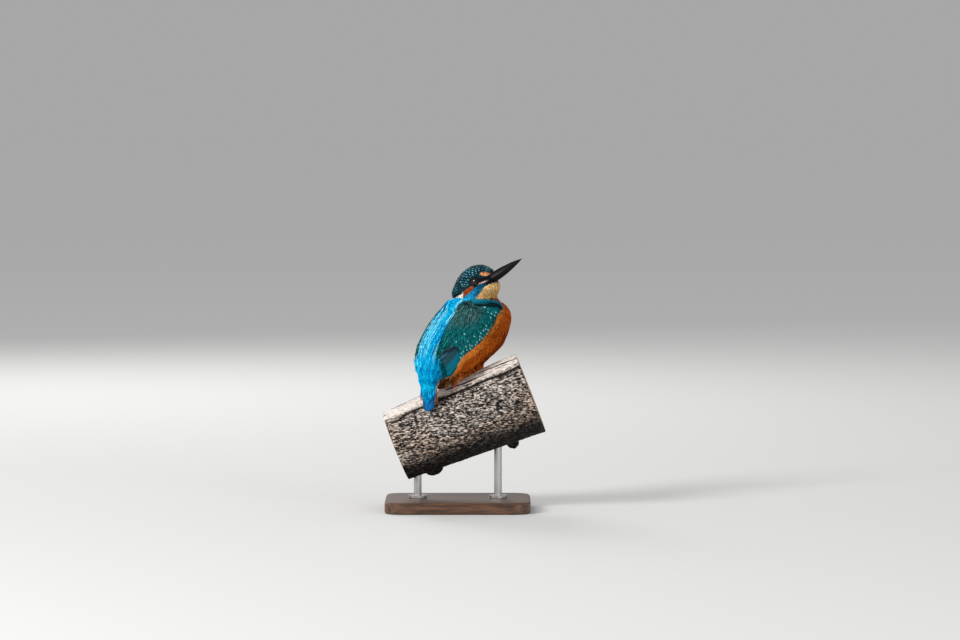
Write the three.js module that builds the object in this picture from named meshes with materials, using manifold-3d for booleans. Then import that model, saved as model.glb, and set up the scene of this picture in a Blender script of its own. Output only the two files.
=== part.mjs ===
// A life-size common kingfisher (Alcedo atthis) sitting on a cut length of bough, held by a display stand.
// Millimetres, +Z up. The origin is the centre of the underside of the stand's base.
// The bough runs along X and rises towards +X. The bird heads away from -Y, and looks back over its right side.
// The bird's own frame is x forward, y left, z up, from the place on the bough where it sits.
import * as THREE from 'three';
import { mergeVertices } from 'three/addons/utils/BufferGeometryUtils.js';
import Module from 'manifold-3d';

const wasm = await Module();
wasm.setup();

// ---- Driving dimensions ----
const GAP = 0.3; // left between pieces that meet

const BASE = { width: 112, depth: 84, height: 9, corner: 12, bevel: 1.2 };
const ROD = { radius: 3, reach: 31, letIn: 9, footRadius: 7, footHeight: 2 };

const BOUGH = { length: 112, slope: 21.5, startRadius: 28, endRadius: 32.4, centreX: 4, centreZ: 70 };
const KNOTS = [
  { along: 21, around: 176, width: 7, rise: 4 },
  { along: 85, around: 172, width: 5, rise: 5.4 },
];

const SEAT = { x: -6, y: -8 }; // where the bird sits, seen from above
const HEADING = 50; // degrees, of the trunk, turned from +X towards +Y
const NECK_CUT = 64; // height over the seat where the trunk ends and the neck begins
const NECK_DROP = 5.5; // the neck ends this far under the eyes, inside the head
const NECK_TILT = 0.35; // rise of the neck's top towards the throat
// The neck's half sizes under the head, and how far back of the eyes its middle lies.
const THROAT = { length: 17.6, width: 12.5, back: 1.5, topNarrowing: 0.14 };

// Midway between the eyes, in the bird's frame. The head's heading is turned from +X, as the trunk's is.
const HEAD = { heading: -35, pitch: 25, x: 29.5, y: -7, z: 77.4 };
const EYE = { radius: 3.9, side: 8.6 };
const BILL = { start: 12.8, tip: 41.5, tipZ: 0.8, culmenZ: 3.2, gonysZ: -4.9, gapeZ: -1.3, halfWidth: 3.6 };

const WING_THICKNESS = 2.3;
const TAIL = {
  forward: -25, length: 19.2, rootWidth: 14.5, tipWidth: 10.4, rootThickness: 7, tipThickness: 2.2,
};
const TAIL_ROUND = 0.14; // share of the tail's length that is rounded off at its tip
const LEG = { spacing: 7, forward: 0, tarsusRadius: 1.3, tarsusHeight: 7, tarsusLean: 3 };
const TOE = { radius: 1.1, arch: 0.3 };
const CLAW = { length: 3.2, radius: 0.75, letIn: 0.6, raise: 0.15, droop: 6 };
const TRUNK_SQUARENESS = 0.94; // under 1 makes a section fuller than an ellipse
const HEAD_SQUARENESS = 0.95;

// Toes of the right foot: how far each reaches, and its turn outwards from straight ahead.
const TOES = [
  { name: 'inner', reach: 8, turn: -17 },
  { name: 'middle', reach: 12.5, turn: -2 },
  { name: 'outer', reach: 11, turn: 9 },
  { name: 'hind', reach: 5.5, turn: 180 },
];

// The folded right wing's edge seen from the side, as forward and up: from the mantle by way of the bend
// of the wing and its lower edge to the tip, and back up beside the stripe of the back.
const WING_EDGE = [
  [8, 62.5], [21, 62.3], [33, 59.5], [36, 55], [28.5, 51], [23.5, 44], [13.5, 34], [3, 27.5], [-6.5, 22],
  [-11, 15], [-12.5, 8], [-17.5, 2.8], [-24, 9], [-31, 24], [-22, 43], [-8, 56],
];
// Half the width of the stripe left bare between the two wings, by height.
const BARE_BACK = [[4.5, 66], [8, 46], [12.5, 24], [12, -5]];

// Cross-sections of the trunk, square to its spine, from the root of the tail up to the neck.
const TRUNK_STATIONS = [
  { name: 'tail root', forward: -25, up: -2, back: 4, belly: 5.5, side: 7.5 },
  { name: 'vent', forward: -23, up: 7, back: 8.2, belly: 11, side: 10.8 },
  { name: 'rump', forward: -15, up: 17, back: 16.3, belly: 18, side: 16.3 },
  { name: 'loin', forward: -1, up: 26, back: 22, belly: 24.5, side: 20 },
  { name: 'middle', forward: 14, up: 35.5, back: 24, belly: 29.5, side: 22 },
  { name: 'chest', forward: 28, up: 45, back: 23.5, belly: 29.5, side: 22 },
  { name: 'shoulder', forward: 35.5, up: 55, back: 21, belly: 25, side: 20.5 },
  { name: 'neck', forward: 31, up: NECK_CUT, back: 17, belly: 17, side: 17 },
];

// Cross-sections of the head, square to the bill, from the nape forward. x = 0 is at the eyes.
const HEAD_STATIONS = [
  { name: 'nape end', x: -26, top: -1, bottom: -9, side: 8 },
  { name: 'nape', x: -21.5, top: 4.8, bottom: -11.5, side: 11.4 },
  { name: 'back of crown', x: -14.5, top: 10.2, bottom: -12.5, side: 12.8 },
  { name: 'crown', x: -7, top: 13, bottom: -12.8, side: 12.9 },
  { name: 'brow', x: 0, top: 12.8, bottom: -12.5, side: 11.2 },
  { name: 'forehead', x: 5, top: 10.6, bottom: -11, side: 8.6 },
  { name: 'lores', x: 9.5, top: 6.8, bottom: -8.6, side: 5.6 },
  { name: 'bill feathering', x: 12.5, top: 3.6, bottom: -6, side: 4.1 },
];

// ---- Helpers ----
const degrees = THREE.MathUtils.degToRad;

function material(colour, roughness, metalness = 0) {
  return new THREE.MeshStandardMaterial({ color: colour, roughness, metalness });
}

function signedVolume(points, index) {
  const [a, b, c] = [new THREE.Vector3(), new THREE.Vector3(), new THREE.Vector3()];
  let volume = 0;
  for (let i = 0; i < index.length; i += 3) {
    a.copy(points[index[i]]);
    b.copy(points[index[i + 1]]);
    c.copy(points[index[i + 2]]);
    volume += a.dot(b.cross(c)) / 6;
  }
  return volume;
}

// A closed skin through a row of rings that have equal counts of points. Each end closes on one point:
// the pole that is given, or the middle of the end ring.
function loft(rings, startPole, endPole) {
  const around = rings[0].length;
  const points = rings.flat();
  const middle = (ring) => ring.reduce((sum, p) => sum.add(p), new THREE.Vector3()).divideScalar(around);
  const start = points.push(startPole ?? middle(rings[0])) - 1;
  const end = points.push(endPole ?? middle(rings.at(-1))) - 1;
  const index = [];
  for (let j = 0; j < around; j += 1) {
    const next = (j + 1) % around;
    for (let i = 0; i < rings.length - 1; i += 1) {
      const [a, b] = [i * around + j, i * around + next];
      index.push(a, b, b + around, a, b + around, a + around);
    }
    const last = (rings.length - 1) * around;
    index.push(start, next, j, end, last + j, last + next);
  }
  if (signedVolume(points, index) < 0) index.reverse();
  const geometry = new THREE.BufferGeometry().setFromPoints(points);
  geometry.setIndex(index);
  return geometry;
}

function solid(geometry) {
  const bare = geometry.clone();
  bare.deleteAttribute('normal');
  bare.deleteAttribute('uv');
  const merged = mergeVertices(bare, 1e-4);
  const vertProperties = new Float32Array(merged.attributes.position.array);
  const triVerts = new Uint32Array(merged.index.array);
  return new wasm.Manifold(new wasm.Mesh({ numProp: 3, vertProperties, triVerts }));
}

function geometryOf(manifold) {
  const mesh = manifold.getMesh();
  const geometry = new THREE.BufferGeometry();
  geometry.setAttribute('position', new THREE.BufferAttribute(mesh.vertProperties, 3));
  geometry.setIndex(new THREE.BufferAttribute(mesh.triVerts, 1));
  return geometry;
}

// Signed power, which squares off or points a round section.
function power(value, exponent) {
  return Math.sign(value) * Math.abs(value) ** exponent;
}

// ---- Placing ----
const slope = degrees(BOUGH.slope);
const boughAxis = new THREE.Vector3(Math.cos(slope), 0, Math.sin(slope));
const boughUp = new THREE.Vector3(-Math.sin(slope), 0, Math.cos(slope));
const boughSide = new THREE.Vector3(0, 1, 0);
const boughStart = new THREE.Vector3(BOUGH.centreX, 0, BOUGH.centreZ)
  .addScaledVector(boughAxis, -BOUGH.length / 2);

function boughRadius(along) {
  return THREE.MathUtils.lerp(BOUGH.startRadius, BOUGH.endRadius, along / BOUGH.length);
}

// Height of the bough's upper side over a place seen from above.
function boughTop(x, y) {
  let z = BOUGH.centreZ;
  for (let step = 0; step < 8; step += 1) {
    const along = new THREE.Vector3(x, 0, z).sub(boughStart).dot(boughAxis);
    const rise = Math.sqrt(Math.max(boughRadius(along) ** 2 - y ** 2, 0));
    const centreZ = boughStart.z + (x - boughStart.x) * Math.tan(slope);
    z = centreZ + rise / Math.cos(slope);
  }
  return z;
}

const seatZ = boughTop(SEAT.x, 0);
const birdFrame = new THREE.Matrix4()
  .makeTranslation(SEAT.x, SEAT.y, seatZ)
  .multiply(new THREE.Matrix4().makeRotationZ(degrees(HEADING)));
const headTurn = new THREE.Matrix4()
  .makeRotationZ(degrees(HEAD.heading - HEADING))
  .multiply(new THREE.Matrix4().makeRotationY(degrees(-HEAD.pitch)));
const headFrame = birdFrame.clone()
  .multiply(new THREE.Matrix4().makeTranslation(HEAD.x, HEAD.y, HEAD.z))
  .multiply(headTurn);

// ---- Bough and stand ----
function boughPoint(along, angle, radius) {
  return boughStart.clone()
    .addScaledVector(boughAxis, along)
    .addScaledVector(boughUp, radius * Math.cos(angle))
    .addScaledVector(boughSide, radius * Math.sin(angle));
}

function roundBough(swell = 0) {
  const [around, steps] = [36, 8];
  const rings = [];
  for (let i = 0; i <= steps; i += 1) {
    const along = (i / steps) * (BOUGH.length + 2 * swell) - swell;
    const ring = [];
    for (let j = 0; j < around; j += 1) {
      ring.push(boughPoint(along, (j / around) * 2 * Math.PI, boughRadius(along) + swell));
    }
    rings.push(ring);
  }
  return solid(loft(rings));
}

// The stub of a lost twig, half sunk in the bough's underside.
function knotSolid(knot) {
  const angle = degrees(knot.around);
  const centre = boughPoint(knot.along, angle, boughRadius(knot.along) - 1);
  const geometry = new THREE.SphereGeometry(1, 12, 8);
  geometry.scale(knot.width, knot.width * 0.8, knot.rise + 1);
  geometry.rotateY(-slope);
  geometry.translate(centre.x, centre.y, centre.z);
  return solid(geometry);
}

function boughUnderside(x) {
  const centreZ = boughStart.z + (x - boughStart.x) * Math.tan(slope);
  const along = new THREE.Vector3(x, 0, centreZ).sub(boughStart).dot(boughAxis);
  return centreZ - boughRadius(along) / Math.cos(slope);
}

function rodSolid(x, swell = 0) {
  const top = boughUnderside(x) + ROD.letIn + swell;
  const bottom = BASE.height + GAP - swell;
  const profile = [
    new THREE.Vector2(0, bottom),
    new THREE.Vector2(ROD.footRadius + swell, bottom),
    new THREE.Vector2(ROD.footRadius + swell, BASE.height + GAP + ROD.footHeight + swell),
    new THREE.Vector2(ROD.radius + swell, BASE.height + GAP + ROD.footHeight + swell),
    new THREE.Vector2(ROD.radius + swell, top),
    new THREE.Vector2(0, top),
  ];
  const geometry = new THREE.LatheGeometry(profile, 16);
  geometry.rotateX(Math.PI / 2);
  geometry.translate(x, 0, 0);
  return solid(geometry);
}

function baseGeometry() {
  const [w, d, r] = [BASE.width / 2 - BASE.bevel, BASE.depth / 2 - BASE.bevel, BASE.corner];
  const outline = new THREE.Shape();
  outline.moveTo(-w + r, -d);
  outline.lineTo(w - r, -d);
  outline.absarc(w - r, -d + r, r, -Math.PI / 2, 0);
  outline.lineTo(w, d - r);
  outline.absarc(w - r, d - r, r, 0, Math.PI / 2);
  outline.lineTo(-w + r, d);
  outline.absarc(-w + r, d - r, r, Math.PI / 2, Math.PI);
  outline.lineTo(-w, -d + r);
  outline.absarc(-w + r, -d + r, r, Math.PI, 1.5 * Math.PI);
  const geometry = new THREE.ExtrudeGeometry(outline, {
    depth: BASE.height - 2 * BASE.bevel,
    bevelThickness: BASE.bevel,
    bevelSize: BASE.bevel,
    bevelSegments: 1,
    curveSegments: 5,
  });
  geometry.translate(0, 0, BASE.bevel);
  return geometry;
}

// ---- Trunk and neck ----
const spine = new THREE.CatmullRomCurve3(
  TRUNK_STATIONS.map((s) => new THREE.Vector3(s.forward, 0, s.up)), false, 'catmullrom', 0.5);
const girth = new THREE.CatmullRomCurve3(
  TRUNK_STATIONS.map((s) => new THREE.Vector3(s.back, s.belly, s.side)), false, 'catmullrom', 0.5);

// One ring of the trunk, square to the spine but level at both ends. Angle 0 is the middle of the back,
// 90 degrees the right side, 180 the belly.
function trunkRing(t, count) {
  const centre = spine.getPoint(t);
  const along = spine.getTangent(t);
  const level = THREE.MathUtils.smoothstep(t, 0.55, 1) + 1 - THREE.MathUtils.smoothstep(t, 0, 0.12);
  along.lerp(new THREE.Vector3(0, 0, 1), level).normalize();
  const outBack = new THREE.Vector3(-along.z, 0, along.x);
  const size = girth.getPoint(t);
  const ring = [];
  for (let j = 0; j < count; j += 1) {
    const angle = (j / count) * 2 * Math.PI;
    const depth = Math.cos(angle) > 0 ? size.x : size.y;
    ring.push(centre.clone()
      .addScaledVector(outBack, depth * power(Math.cos(angle), TRUNK_SQUARENESS))
      .add(new THREE.Vector3(0, -size.z * power(Math.sin(angle), TRUNK_SQUARENESS), 0)));
  }
  return ring;
}

// The trunk, or the same form with every point moved out along the surface's normal.
function trunkSolid(swell = 0) {
  const rings = [];
  const [around, steps] = [28, 20];
  for (let i = 0; i <= steps; i += 1) rings.push(trunkRing(i / steps, around));
  const geometry = loft(rings);
  geometry.computeVertexNormals();
  const { position, normal } = geometry.attributes;
  for (let i = 0; i < position.count; i += 1) {
    const out = new THREE.Vector3().fromBufferAttribute(normal, i);
    const point = new THREE.Vector3().fromBufferAttribute(position, i).addScaledVector(out, swell);
    position.setXYZ(i, point.x, point.y, point.z);
  }
  return solid(geometry);
}

// An upright oval of the neck, by its middle, half length, half width and heading in the bird's frame.
function ovalPoint(oval, angle) {
  const c = Math.cos(angle - oval.heading);
  const s = Math.sin(angle - oval.heading);
  const radius = 1 / Math.hypot(c / oval.length, s / oval.width);
  return new THREE.Vector3(oval.x + radius * Math.cos(angle), oval.y + radius * Math.sin(angle), 0);
}

function neckSolid() {
  const headHeading = degrees(HEAD.heading - HEADING);
  const root = TRUNK_STATIONS.at(-1);
  const base = { x: root.forward, y: 0, length: root.back, width: root.side, heading: 0 };
  const throat = {
    x: HEAD.x - THROAT.back * Math.cos(headHeading),
    y: HEAD.y - THROAT.back * Math.sin(headHeading),
    length: THROAT.length,
    width: THROAT.width,
    heading: headHeading,
  };
  const bottom = NECK_CUT + GAP;
  const [around, steps] = [28, 6];
  const rings = [];
  for (let i = 0; i <= steps; i += 1) {
    const share = i / steps;
    const blend = THREE.MathUtils.smoothstep(share, 0, 0.8);
    const narrowing = 1 - THROAT.topNarrowing * Math.max((share - 0.75) / 0.25, 0) ** 2;
    const oval = { ...throat, length: throat.length * narrowing, width: throat.width * narrowing };
    const ring = [];
    for (let j = 0; j < around; j += 1) {
      const angle = (j / around) * 2 * Math.PI;
      const point = ovalPoint(base, angle).lerp(ovalPoint(oval, angle), blend);
      const ahead = throat.length * Math.cos(angle - headHeading);
      const top = HEAD.z - NECK_DROP + NECK_TILT * ahead;
      ring.push(point.setZ(THREE.MathUtils.lerp(bottom, top, share)));
    }
    rings.push(ring);
  }
  return solid(loft(rings));
}

// ---- Head, eyes and bill, in the head's frame ----
const skull = new THREE.CatmullRomCurve3(
  HEAD_STATIONS.map((s) => new THREE.Vector3(s.x, s.side, 0)), false, 'catmullrom', 0.5);
const crown = new THREE.CatmullRomCurve3(
  HEAD_STATIONS.map((s) => new THREE.Vector3(s.top, s.bottom, 0)), false, 'catmullrom', 0.5);

function headSolid(swell = 0) {
  const [around, steps] = [28, 16];
  const rings = [];
  for (let i = 0; i <= steps; i += 1) {
    const { x, y: side } = skull.getPoint(i / steps);
    const { x: top, y: bottom } = crown.getPoint(i / steps);
    const middle = (top + bottom) / 2;
    const half = (top - bottom) / 2 + swell;
    const ring = [];
    for (let j = 0; j < around; j += 1) {
      const angle = (j / around) * 2 * Math.PI;
      const across = (side + swell) * power(Math.sin(angle), HEAD_SQUARENESS);
      ring.push(new THREE.Vector3(x, across, middle + half * Math.cos(angle)));
    }
    rings.push(ring);
  }
  const first = HEAD_STATIONS[0];
  const nape = new THREE.Vector3(first.x - 1 - swell, 0, (first.top + first.bottom) / 2);
  return solid(loft(rings, nape));
}

function eyeGeometry(side, swell = 0) {
  const geometry = new THREE.SphereGeometry(EYE.radius + swell, 12, 9);
  geometry.translate(0, side * EYE.side, 0);
  return geometry;
}

// Half of the bill: the upper half spans the gape line to the culmen, the lower one the gape line to the gonys.
function billGeometry(upper) {
  const [around, steps] = [14, 8];
  const rings = [];
  for (let i = 0; i < steps; i += 1) {
    const share = i / steps;
    const x = THREE.MathUtils.lerp(BILL.start, BILL.tip, share);
    const gape = THREE.MathUtils.lerp(BILL.gapeZ, BILL.tipZ, share) + (upper ? 0.5 : -0.5) * GAP;
    const edge = upper ? BILL.culmenZ : BILL.gonysZ;
    const ridge = THREE.MathUtils.lerp(edge, BILL.tipZ, share ** (upper ? 1.25 : 1.5));
    const width = BILL.halfWidth * (1 - share) ** 0.86;
    const ring = [];
    for (let j = 0; j < around; j += 1) {
      const angle = (j / around) * 2 * Math.PI;
      const lift = Math.max(Math.sin(angle), 0) ** 0.8;
      const across = width * Math.cos(angle) * (1 - 0.25 * lift);
      ring.push(new THREE.Vector3(x, across, gape + (ridge - gape) * lift));
    }
    rings.push(ring);
  }
  const tip = new THREE.Vector3(BILL.tip, 0, BILL.tipZ + (upper ? 0.1 : -0.3));
  return loft(rings, undefined, tip);
}

// ---- Wings, in the bird's frame ----
// Turns a closed geometry into its mirror image across the bird's middle plane.
function mirrored(geometry) {
  const copy = geometry.clone();
  copy.scale(1, -1, 1);
  const index = Array.from(copy.index.array).reverse();
  copy.setIndex(index);
  return copy;
}

// A flat outline pushed through the whole bird, from its middle plane out past its right side.
function outlineThroughSide(points) {
  const outline = new THREE.Shape();
  outline.moveTo(...points[0]);
  outline.splineThru([...points.slice(1), points[0]].map(([x, y]) => new THREE.Vector2(x, y)));
  const geometry = new THREE.ExtrudeGeometry(outline, { depth: 60, bevelEnabled: false, curveSegments: 3 });
  geometry.rotateX(Math.PI / 2);
  return solid(geometry);
}

// The wedge over the back that the wings leave bare, pushed through from back to front.
function bareBackSolid() {
  const outline = new THREE.Shape();
  const right = BARE_BACK.map(([half, up]) => new THREE.Vector2(half, up));
  const left = BARE_BACK.map(([half, up]) => new THREE.Vector2(-half, up)).reverse();
  outline.setFromPoints([...right, ...left]);
  const geometry = new THREE.ExtrudeGeometry(outline, { depth: 200, bevelEnabled: false });
  geometry.translate(0, 0, -100);
  geometry.rotateX(Math.PI / 2);
  geometry.rotateZ(Math.PI / 2);
  return solid(geometry);
}

function rightWingSolid() {
  const shell = trunkSolid(GAP + WING_THICKNESS).subtract(trunkSolid(GAP));
  return shell.intersect(outlineThroughSide(WING_EDGE)).subtract(bareBackSolid());
}

// ---- Tail, in the bird's frame ----
function tailSolid() {
  const top = TRUNK_STATIONS[0].up - GAP;
  const [around, steps] = [20, 10];
  const rings = [];
  for (let i = 0; i <= steps; i += 1) {
    const share = i / steps;
    const rounding = Math.max((share - 1 + TAIL_ROUND) / TAIL_ROUND, 0);
    const round = Math.sqrt(Math.max(1 - rounding ** 2, 0.12));
    const width = THREE.MathUtils.lerp(TAIL.rootWidth, TAIL.tipWidth, share ** 0.8) * round;
    const thickness = THREE.MathUtils.lerp(TAIL.rootThickness, TAIL.tipThickness, Math.min(share * 2.2, 1));
    const forward = TAIL.forward + (thickness - TAIL.tipThickness) / 4;
    const ring = [];
    for (let j = 0; j < around; j += 1) {
      const angle = (j / around) * 2 * Math.PI;
      ring.push(new THREE.Vector3(
        forward + 0.5 * thickness * power(Math.cos(angle), 0.8),
        0.5 * width * power(Math.sin(angle), 0.7),
        top - share * TAIL.length,
      ));
    }
    rings.push(ring);
  }
  return solid(loft(rings));
}

// ---- Legs, in the bird's frame ----
// Height of the bough under a place given in the bird's frame.
function groundUnder(forward, left) {
  const place = new THREE.Vector3(forward, left, 0).applyMatrix4(birdFrame);
  return boughTop(place.x, place.y) - seatZ;
}

function tube(points, radius, sides, steps) {
  const section = new THREE.Shape();
  section.absarc(0, 0, radius, 0, 2 * Math.PI);
  const path = new THREE.CatmullRomCurve3(points);
  const options = { steps, bevelEnabled: false, extrudePath: path, curveSegments: sides };
  return solid(new THREE.ExtrudeGeometry(section, options));
}

function legSolid(side, swell = 0) {
  const [footX, footY] = [LEG.forward, side * LEG.spacing];
  const lift = TOE.radius + GAP;
  const footZ = groundUnder(footX, footY) + lift + TOE.arch;
  const ankle = new THREE.Vector3(footX, footY, footZ);
  const knee = new THREE.Vector3(footX - LEG.tarsusLean, footY, footZ + LEG.tarsusHeight + swell);
  let leg = tube([ankle, knee], LEG.tarsusRadius + swell, 4, 1);
  for (const toe of TOES) {
    const heading = degrees(-toe.turn) * -side;
    const [dx, dy] = [Math.cos(heading), Math.sin(heading)];
    const route = [0, 0.35, 0.7, 1].map((share) => {
      const [x, y] = [footX + dx * toe.reach * share, footY + dy * toe.reach * share];
      return new THREE.Vector3(x, y, groundUnder(x, y) + lift + TOE.arch * (1 - share));
    });
    leg = leg.add(tube(route, TOE.radius + swell, 3, 4));
    const claw = new THREE.ConeGeometry(CLAW.radius + swell, CLAW.length + 2 * swell, 6);
    claw.rotateZ(-Math.PI / 2);
    claw.translate(CLAW.length / 2 - CLAW.letIn, 0, CLAW.raise);
    claw.rotateY(degrees(CLAW.droop));
    claw.rotateZ(heading);
    const tip = route.at(-1);
    claw.translate(tip.x, tip.y, tip.z);
    leg = leg.add(solid(claw));
  }
  return leg;
}

// ---- Putting together ----
const kingfisher = new THREE.Group();

function add(name, geometry, look, frame = new THREE.Matrix4()) {
  const mesh = new THREE.Mesh(geometry, look);
  mesh.name = name;
  mesh.applyMatrix4(frame);
  kingfisher.add(mesh);
}

const darkWood = material(0x3a2a20, 0.5);
const steel = material(0xa9a9a6, 0.35, 1);
const greyWood = material(0x8b8178, 0.9);
const orange = material(0xc96a22, 0.85);
const teal = material(0x125b66, 0.8);
const azure = material(0x1f8fd0, 0.75);
const eyeBlack = material(0x080606, 0.1);
const billBlack = material(0x1c181c, 0.4);
const footRed = material(0xb5452c, 0.6);

const toBird = (geometry) => geometry.applyMatrix4(birdFrame.clone().invert());
const headInBird = solid(toBird(geometryOf(headSolid(GAP)).applyMatrix4(headFrame)));
const boughInBird = solid(toBird(geometryOf(roundBough(GAP))));
const legs = { left: legSolid(1), right: legSolid(-1) };
const trunk = trunkSolid()
  .subtract(headInBird)
  .subtract(boughInBird)
  .subtract(legSolid(1, GAP))
  .subtract(legSolid(-1, GAP));
const neck = neckSolid().subtract(headInBird);
const wing = rightWingSolid();
const leftWing = solid(mirrored(geometryOf(wing)));
const tail = tailSolid().subtract(boughInBird);
const headWithSockets = headSolid()
  .subtract(solid(eyeGeometry(1, GAP)))
  .subtract(solid(eyeGeometry(-1, GAP)));

let perch = roundBough();
for (const knot of KNOTS) perch = perch.add(knotSolid(knot));
for (const x of [-ROD.reach, ROD.reach]) perch = perch.subtract(rodSolid(x, GAP));

add('stand_base', baseGeometry(), darkWood);
add('stand_rod_low', geometryOf(rodSolid(-ROD.reach)), steel);
add('stand_rod_high', geometryOf(rodSolid(ROD.reach)), steel);
add('perch', geometryOf(perch), greyWood);
add('trunk', geometryOf(trunk), orange, birdFrame);
add('neck', geometryOf(neck), azure, birdFrame);
add('wing_right', geometryOf(wing.subtract(headInBird)), teal, birdFrame);
add('wing_left', geometryOf(leftWing.subtract(headInBird)), teal, birdFrame);
add('tail', geometryOf(tail), azure, birdFrame);
add('leg_left', geometryOf(legs.left), footRed, birdFrame);
add('leg_right', geometryOf(legs.right), footRed, birdFrame);
add('head', geometryOf(headWithSockets), teal, headFrame);
add('eye_left', eyeGeometry(1), eyeBlack, headFrame);
add('eye_right', eyeGeometry(-1), eyeBlack, headFrame);
add('bill_upper', billGeometry(true), billBlack, headFrame);
add('bill_lower', billGeometry(false), billBlack, headFrame);

export default kingfisher;
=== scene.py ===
import bpy
import numpy as np
from mathutils.bvhtree import BVHTree
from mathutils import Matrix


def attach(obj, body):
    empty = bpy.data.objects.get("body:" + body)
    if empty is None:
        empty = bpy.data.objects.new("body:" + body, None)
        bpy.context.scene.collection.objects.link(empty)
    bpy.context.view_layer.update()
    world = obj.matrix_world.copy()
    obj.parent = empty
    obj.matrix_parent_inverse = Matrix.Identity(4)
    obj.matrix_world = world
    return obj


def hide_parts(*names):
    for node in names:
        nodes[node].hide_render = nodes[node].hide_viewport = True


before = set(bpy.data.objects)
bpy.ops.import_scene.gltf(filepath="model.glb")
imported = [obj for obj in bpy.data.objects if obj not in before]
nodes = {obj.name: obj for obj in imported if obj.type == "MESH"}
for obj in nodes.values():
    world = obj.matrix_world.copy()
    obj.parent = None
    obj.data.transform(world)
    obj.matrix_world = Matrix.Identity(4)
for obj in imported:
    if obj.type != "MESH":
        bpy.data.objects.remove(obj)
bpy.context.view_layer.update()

# ---------------------------------------------------------------------------------------------------------
# The bough: a cut length of dead, weathered wood without bark. Its grain stands up in wavy ridges, one long
# drying crack runs below the bird, and two stubs of lost twigs are left on the underside.
BOUGH_LENGTH = 112.0
BOUGH_SLOPE = np.radians(21.5)
BOUGH_RADII = (28.0, 32.4)
BOUGH_CENTRE = np.array([4.0, 0.0, 70.0])
BOUGH_KNOTS = ((21.0, 176.0, 7.0, 4.0), (85.0, 172.0, 5.0, 5.4))  # along, around, width, rise
BOUGH_CRACK = (-43.0, 1.2, 3.4)  # degrees round from the top, half width, depth
BOUGH_FAR_CRACK = (96.0, 0.7, 0.5)  # degrees round, half width, share of the first one's depth
BOUGH_STEPS, BOUGH_AROUND, BOUGH_END_RINGS = 250, 360, 12

WOOD_DARK, WOOD_PALE, WOOD_BARE, WOOD_UNDER_SHADE, WOOD_CRACK_SHADE = (
    "1e1713", "b6aaa0", "dfd6cf", "0c0908", "17120f")
RING_DARK, RING_PALE, RING_SPLIT_SHADE = "6f5c4b", "a08a72", "1c1511"
PORES_SIDE, PORES_BARE, PORES_END = 0.02, 0.7, 0.6  # how much light is left in the pores
END_RINGS_TURN = 118.0  # radians that the growth rings take from middle to rim

bough_axis = np.array([np.cos(BOUGH_SLOPE), 0.0, np.sin(BOUGH_SLOPE)])
bough_up = np.array([-np.sin(BOUGH_SLOPE), 0.0, np.cos(BOUGH_SLOPE)])
bough_side = np.array([0.0, 1.0, 0.0])


def linear(code):
    """Linear red, green and blue of a six-figure screen colour."""
    value = np.array([int(code[i:i + 2], 16) for i in (0, 2, 4)]) / 255.0
    return np.where(value <= 0.04045, value / 12.92, ((value + 0.055) / 1.055) ** 2.4)


def smooth(value, low, high):
    """0 below low, 1 above high, and the S-shaped cubic between them."""
    share = np.clip((value - low) / (high - low), 0.0, 1.0)
    return share * share * (3.0 - 2.0 * share)


def between(first, second, share):
    """first where share is 0, second where it is 1, and a straight line between them."""
    return first + (second - first) * share


def mix(first, second, share):
    """Two colours blended so, with one share for each colour."""
    return between(first, second, np.asarray(share)[..., None])


def ripple(u, v, seed, wrap=None):
    """Smooth noise from -1 to 1: random values on whole numbers of u and v, blended by the S-shaped cubic.
    With wrap, it repeats when u has grown by that whole number."""
    table = np.random.default_rng(seed).uniform(-1.0, 1.0, (257, 257))
    cell_u, cell_v = np.floor(u).astype(int), np.floor(v).astype(int)
    share_u, share_v = smooth(u - cell_u, 0.0, 1.0), smooth(v - cell_v, 0.0, 1.0)
    near_u, far_u = (cell_u, cell_u + 1) if wrap is None else (cell_u % wrap, (cell_u + 1) % wrap)
    rows = [table[a % 257, cell_v % 257] * (1 - share_v) + table[a % 257, (cell_v + 1) % 257] * share_v
            for a in (near_u, far_u)]
    return rows[0] * (1 - share_u) + rows[1] * share_u


def new_piece(name, points, corners, material):
    """An object from points in metres, shape (n, 3), and faces as rows of corner numbers, shape (m, 3 or 4)."""
    mesh = bpy.data.meshes.new(name)
    mesh.vertices.add(len(points))
    mesh.vertices.foreach_set("co", np.ascontiguousarray(points, np.float32).ravel())
    mesh.loops.add(corners.size)
    mesh.loops.foreach_set("vertex_index", np.ascontiguousarray(corners, np.int32).ravel())
    mesh.polygons.add(len(corners))
    mesh.polygons.foreach_set("loop_start", np.arange(0, corners.size, corners.shape[1], dtype=np.int32))
    mesh.polygons.foreach_set("use_smooth", np.ones(len(corners), bool))
    mesh.update(calc_edges=True)
    mesh.materials.append(material)
    piece = bpy.data.objects.new(name, mesh)
    bpy.context.scene.collection.objects.link(piece)
    return piece


def colour_points(piece, name, colours, fourth=1.0):
    """Writes one linear colour for each point of the mesh, and a fourth value beside it."""
    fourth = np.broadcast_to(fourth, len(colours))
    layer = piece.data.attributes.new(name, "FLOAT_COLOR", "POINT")
    layer.data.foreach_set("color", np.column_stack([colours, fourth]).astype(np.float32).ravel())


def grid_corners(rows, columns, closed=False):
    """Four-cornered faces of a grid of points, row by row; closed joins the last column to the first."""
    row, column = np.meshgrid(np.arange(rows - 1), np.arange(columns if closed else columns - 1), indexing="ij")
    beside = (column + 1) % columns
    corners = [row * columns + column, row * columns + beside,
               (row + 1) * columns + beside, (row + 1) * columns + column]
    return np.stack(corners, -1).reshape(-1, 4)


def shader(name):
    """A material with its Principled node, its tree and its links."""
    material = bpy.data.materials.new(name)
    material.use_nodes = True
    tree = material.node_tree
    return material, tree.nodes["Principled BSDF"], tree


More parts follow.
